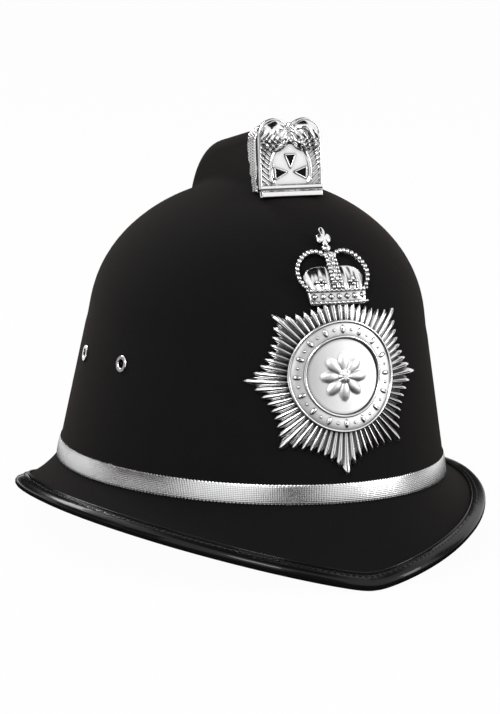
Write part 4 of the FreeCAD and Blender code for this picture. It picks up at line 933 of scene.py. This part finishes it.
def brim_point(angle, inset, depth):
    """Point of the brim at an angle, inset from its edge and below its upper face: a straight run
    from root to rim, hollowed by a parabola."""
    front = np.sin(angle) < 0
    exponent = np.where(front, front_outline, 2)
    reach = np.where(front, brim_half_length + brim_widest, brim_half_length - brim_widest)
    across = power(np.cos(angle), exponent)
    soft = front_peak_roundness
    sharp_rise = (np.hypot(across, soft) - soft) / (math.hypot(1, soft) - soft)
    rise = np.where(front, sharp_rise, np.abs(across) ** rear_rise_power)
    rim = np.stack([brim_half_width * across, brim_widest + reach * power(np.sin(angle), exponent),
                    side_rise * rise], axis=-1)
    root_z = ribbon_low - 0.6
    root = oval(angle, root_z, crown_straight(root_z))
    outward = unit(rim[..., :2] - root[..., :2])
    nose = rim.copy()
    nose[..., :2] -= outward * nose_radius
    nose[..., 2] += nose_radius
    slope = unit(nose - root)
    level = np.hypot(slope[..., 0], slope[..., 1])[..., None]
    normal = join([outward * -slope[..., 2:], level], axis=-1)
    run = nose + normal * core / 2 - root
    share = (1 - inset / np.linalg.norm(run, axis=-1))[..., None]
    hollow = brim_hollow * 4 * share * (1 - share)
    return root + run * share - normal * (hollow + depth)


def even_angles(inset, spacing):
    """Angles whose points lie evenly spaced round the brim, by inverting its length."""
    angle = turns(4000) - np.pi / 2
    path = brim_point(angle, inset, -1)
    length = join([[0], np.cumsum(np.linalg.norm(np.diff(path, axis=0), axis=1))])
    count = int(round(length[-1] / spacing))
    return np.interp(np.arange(count) * length[-1] / count, length, angle)


def sewn(name, place, ahead, aside, size, material):
    """Row of stitches: a pebble at each place, its axes ahead, aside and outwards."""
    axes = np.stack([ahead, aside, np.cross(ahead, aside)], axis=1)
    scattered(name, pebble(8, 6), place, axes, size, material)


cord_path = brim_point(even_angles(binding_leg, 2), binding_leg - 0.1, -0.75)
surface("binding_cord", tube(cord_path, 0.5, 8, closed=True), patent)
stitch_angles = even_angles(stitch_inset, 3.3)
stitch_place = brim_point(stitch_angles, stitch_inset, -1)
sewn("binding_stitches", stitch_place,
     unit(brim_point(stitch_angles + 0.002, stitch_inset, -1) - stitch_place),
     unit(brim_point(stitch_angles, stitch_inset + 0.5, -1) - stitch_place),
     [1.2, 0.42, 0.45], patent)
print("stitches on the binding:", len(stitch_place))

# %% [markdown]
# ## Inside the crown
# The leather sweatband folds round the lower edge of the headband and has a stitched line above
# the fold. Under the cradle's tapes sits a soft pad, quilted into wedges.

# %% Sweatband and pad
sweat_low, sweat_high = (1000 * corner.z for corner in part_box("sweatband"))
leaf_depth = 11.3
pad_low, pad_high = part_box("crown_pad")


def depth_ring(turn, z, depth):
    """Point at a depth under the cloth, on the straight part of the crown."""
    return oval(turn, z, crown_straight(z) - depth * math.hypot(1, crown_taper))


def sweatband_grid(columns=400):
    """Section up the inner face, over the top, down the back and round the roll at the fold. A
    slow wave keeps it from looking machined."""
    roll = np.linspace(np.pi / 2, -np.pi / 2, 9)
    z = join([[sweat_high - 0.2, sweat_high, sweat_high - 0.2],
              np.linspace(sweat_high - 2, sweat_low + 3, 12),
              [sweat_low + 1.2], sweat_low + 0.9 + 0.9 * -np.cos(roll)[1:-1],
              [sweat_low + 1.2, sweat_low + 1.25, sweat_high - 0.2]])[None, :]
    depth = join([[leaf_depth + 0.05, leaf_depth + 0.5, leaf_depth + 1.1],
                  np.full(12, leaf_depth + 1.2), [leaf_depth + 1.2],
                  leaf_depth - 0.1 + 1.3 * np.sin(roll)[1:-1],
                  [leaf_depth - 1.45, leaf_depth + 0.05, leaf_depth + 0.05]])[None, :]
    angle = turns(columns)[:, None]
    soft = 0.12 * np.sin(11 * angle + 0.4 * z) * (depth > leaf_depth + 1)
    return depth_ring(angle, z, depth + soft)


def pad_grid(columns=96, rows=28, wedges=8):
    """Flattened superellipsoid in the pad's box, drawn in along the seams between its wedges."""
    angle = turns(columns)[None, :]
    slant = np.linspace(0, np.pi, rows)[:, None]
    seam = 1 - 0.12 * np.exp(-((np.abs(np.cos(wedges * angle / 2))) / 0.18) ** 2)
    half = [500 * (high - low) for low, high in zip(pad_low, pad_high)]
    middle = [500 * (high + low) for low, high in zip(pad_low, pad_high)]
    ring = np.sin(slant) ** 0.7
    cosine = np.cos(slant)
    z = middle[2] + 1.5 - 3.4 * ring ** 2 + 3.9 * np.sign(cosine) * np.abs(cosine) ** 0.8 * seam
    return np.stack([half[0] * ring * np.cos(angle) + middle[0],
                     half[1] * ring * np.sin(angle) + middle[1], z], axis=-1)


sweatband = surface("leather_sweatband", sweatband_grid(), brown_leather)
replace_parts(sweatband, "sweatband")
sew_turn, sew_z, sew_depth = turns(190)[:-1], sweat_low + 4.2, leaf_depth + 1.25
sew_place = depth_ring(sew_turn, sew_z, sew_depth)
sewn("sweatband_stitches", sew_place,
     unit(depth_ring(sew_turn + 0.01, sew_z, sew_depth) - sew_place),
     np.broadcast_to([0, 0, 1], sew_place.shape), [1.1, 0.35, 0.35], thread)
pad = surface("quilted_pad", pad_grid(), lining_cloth)
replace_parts(pad, "crown_pad")
print("sweatband and pad set")

# %% [markdown]
# ## The studio
# The helmet stands on a pale floor in a white room. Silver shows whatever stands round it, so the
# room holds large soft lamps, which draw long highlights, and dark cards that only mirrors see,
# which give the plate its contrast.

# %% Floor, room and lamps
floor_reach = 12000
floor_glow = 0.97            # share of its own white that a glance at the floor shows
room_white, room_fill = 0.6, 0.4


def add_object(name, data):
    """Object in the scene."""
    thing = bpy.data.objects.new(name, data)
    bpy.context.scene.collection.objects.link(thing)
    return thing


def seen_directly(tree):
    """One where the eye, a mirror or glass looks at a surface, and zero where light gathers."""
    path = add_node(tree, "LightPath", {})
    direct = math_node(tree, "MAXIMUM", path["Is Camera Ray"], path["Is Glossy Ray"])
    return math_node(tree, "MAXIMUM", direct, path["Is Transmission Ray"])


floor_line = np.linspace(-floor_reach, floor_reach, 5)
floor_x, floor_y = np.meshgrid(floor_line, floor_line, indexing="ij")
floor_points = np.stack([floor_x, floor_y, 0 * floor_x], axis=-1)
floor_mesh = mesh_of("floor", floor_points, quads(5, 5)[:, ::-1])
add_object("floor", floor_mesh)
floor_material, floor_tree, floor_shader = new_material("pale_floor", Roughness=0.9,
                                                        Base_Color=(0.8, 0.8, 0.8, 1))
floor_mix = add_node(floor_tree, "MixShader", {
    "Fac": math_node(floor_tree, "MULTIPLY", seen_directly(floor_tree), floor_glow),
    1: floor_shader.outputs[0], 2: add_node(floor_tree, "Emission", {})[0]})
floor_tree.links.new(floor_mix[0], floor_tree.nodes["Material Output"].inputs["Surface"])
floor_mesh.materials.append(floor_material)

world = bpy.data.worlds.new("white_room")
bpy.context.scene.world = world
world.use_nodes = True
room = world.node_tree
connect(room, room.nodes["Background"].inputs, {
    "Color": (1, 1, 1, 1),
    "Strength": math_node(room, "MULTIPLY_ADD", seen_directly(room), room_white, room_fill)})


def lamp(name, place, size, watts, target=(0, 0, 0.11)):
    """Soft square lamp that faces the helmet."""
    light = bpy.data.lights.new(name, "AREA")
    light.shape = "RECTANGLE"
    light.size, light.size_y = size
    light.energy = watts
    holder = add_object(name, light)
    holder.location = place
    holder.rotation_euler = (Vector(target) - Vector(place)).to_track_quat("-Z", "Y").to_euler()


lamp("key_lamp", (-1.3, -1.5, 1.5), (0.9, 0.9), 26)
lamp("fill_lamp", (1.6, -1.2, 0.8), (0.5, 1.2), 14)
lamp("rim_lamp", (-0.6, 1.6, 1.4), (1.2, 0.5), 16)


def dark_card(name, place, size, shade=0.012, target=(0, 0, 0.1)):
    """Dark oval card that only mirrors see, turned to a point. It fades out at its edge, by the
    length of a place divided by the card's half sizes."""
    half_wide, half_tall = size[0] / 2, size[1] / 2
    corners = 1000 * np.array([(-half_wide, -half_tall, 0), (half_wide, -half_tall, 0),
                               (half_wide, half_tall, 0), (-half_wide, half_tall, 0)])
    mesh = mesh_of(name, corners, np.arange(4))
    material, tree, shader = new_material(name, Roughness=1, Specular_IOR_Level=0,
                                          Base_Color=(shade, shade * 0.8, shade * 0.8, 1))
    share = add_node(tree, "VectorMath", {0: add_node(tree, "TexCoord", {})["Object"],
                                          1: (half_wide, half_tall, 1)}, operation="DIVIDE")
    out = add_node(tree, "VectorMath", {0: share[0]}, operation="LENGTH")
    fade = add_node(tree, "MapRange", {"Value": out["Value"], "From Min": 0.6, "From Max": 1,
                                       "To Min": 1, "To Max": 0},
                    interpolation_type="SMOOTHSTEP")
    tree.links.new(fade[0], shader.inputs["Alpha"])
    mesh.materials.append(material)
    card = add_object(name, mesh)
    aim = (Vector(target) - Vector(place)).to_track_quat("Z", "Y").to_matrix()
    card.matrix_world = Matrix.Translation(place) @ aim.to_4x4()
    card.visible_camera = False
    card.visible_shadow = False
    card.visible_diffuse = False


def card_place(azimuth, distance, level):
    """Place at some degrees from straight ahead towards the wearer's right."""
    turn = math.radians(azimuth)
    return (-distance * math.sin(turn), -distance * math.cos(turn), level)


dark_card("card_middle", card_place(14, 1.4, 0.3), (1.05, 1.9))
dark_card("card_right_side", card_place(91, 1.2, 0.4), (0.5, 1.9))
dark_card("card_right_rear", card_place(118, 1.2, 0.4), (0.9, 1.6), shade=0.1)
dark_card("card_left_side", card_place(-84, 1.2, 0.4), (0.6, 1.6), shade=0.1)
dark_card("card_rear", card_place(190, 1.5, 0.45), (3.2, 1.5))
dark_card("card_above", (0.1, 0, 1.7), (2.4, 1.8))
dark_card("card_floor", (0, -0.1, 0.0006), (1.1, 1.2), target=(0, -0.1, 1))

# %% [markdown]
# ## The camera
# The picture was taken from the wearer's right front, a little above, with a long lens. Distance
# and angles were fitted to the outline, and the shift places the helmet in the picture.

# %% Camera
view_turn, view_rise, view_roll = math.radians(24.158), math.radians(9.073), math.radians(0.744)
camera_distance = 1.9108
camera_target = Vector((0, 0.00158, 0.110))
picture_width, picture_height = 500, 714
target_in_picture = (252.96, 330.68)
pixels_per_metre = 1858
sensor = 36
backward = Vector((-math.sin(view_turn) * math.cos(view_rise),
                   -math.cos(view_turn) * math.cos(view_rise), math.sin(view_rise)))
level_right = Vector((math.cos(view_turn), -math.sin(view_turn), 0))
level_up = backward.cross(level_right)
right = level_right * math.cos(view_roll) + level_up * math.sin(view_roll)
upward = backward.cross(right)
lens = bpy.data.cameras.new("camera")
lens.sensor_width = sensor
lens.lens = pixels_per_metre * camera_distance * sensor / picture_height
lens.shift_x = (picture_width / 2 - target_in_picture[0]) / picture_height
lens.shift_y = (target_in_picture[1] - picture_height / 2) / picture_height
camera = add_object("camera", lens)
place = camera_target + backward * camera_distance
axes = Matrix((right, upward, backward)).transposed()
camera.matrix_world = Matrix.Translation(place) @ axes.to_4x4()
bpy.context.scene.camera = camera
bpy.context.scene.view_settings.view_transform = "Standard"
print("lens:", round(lens.lens, 1), "mm")
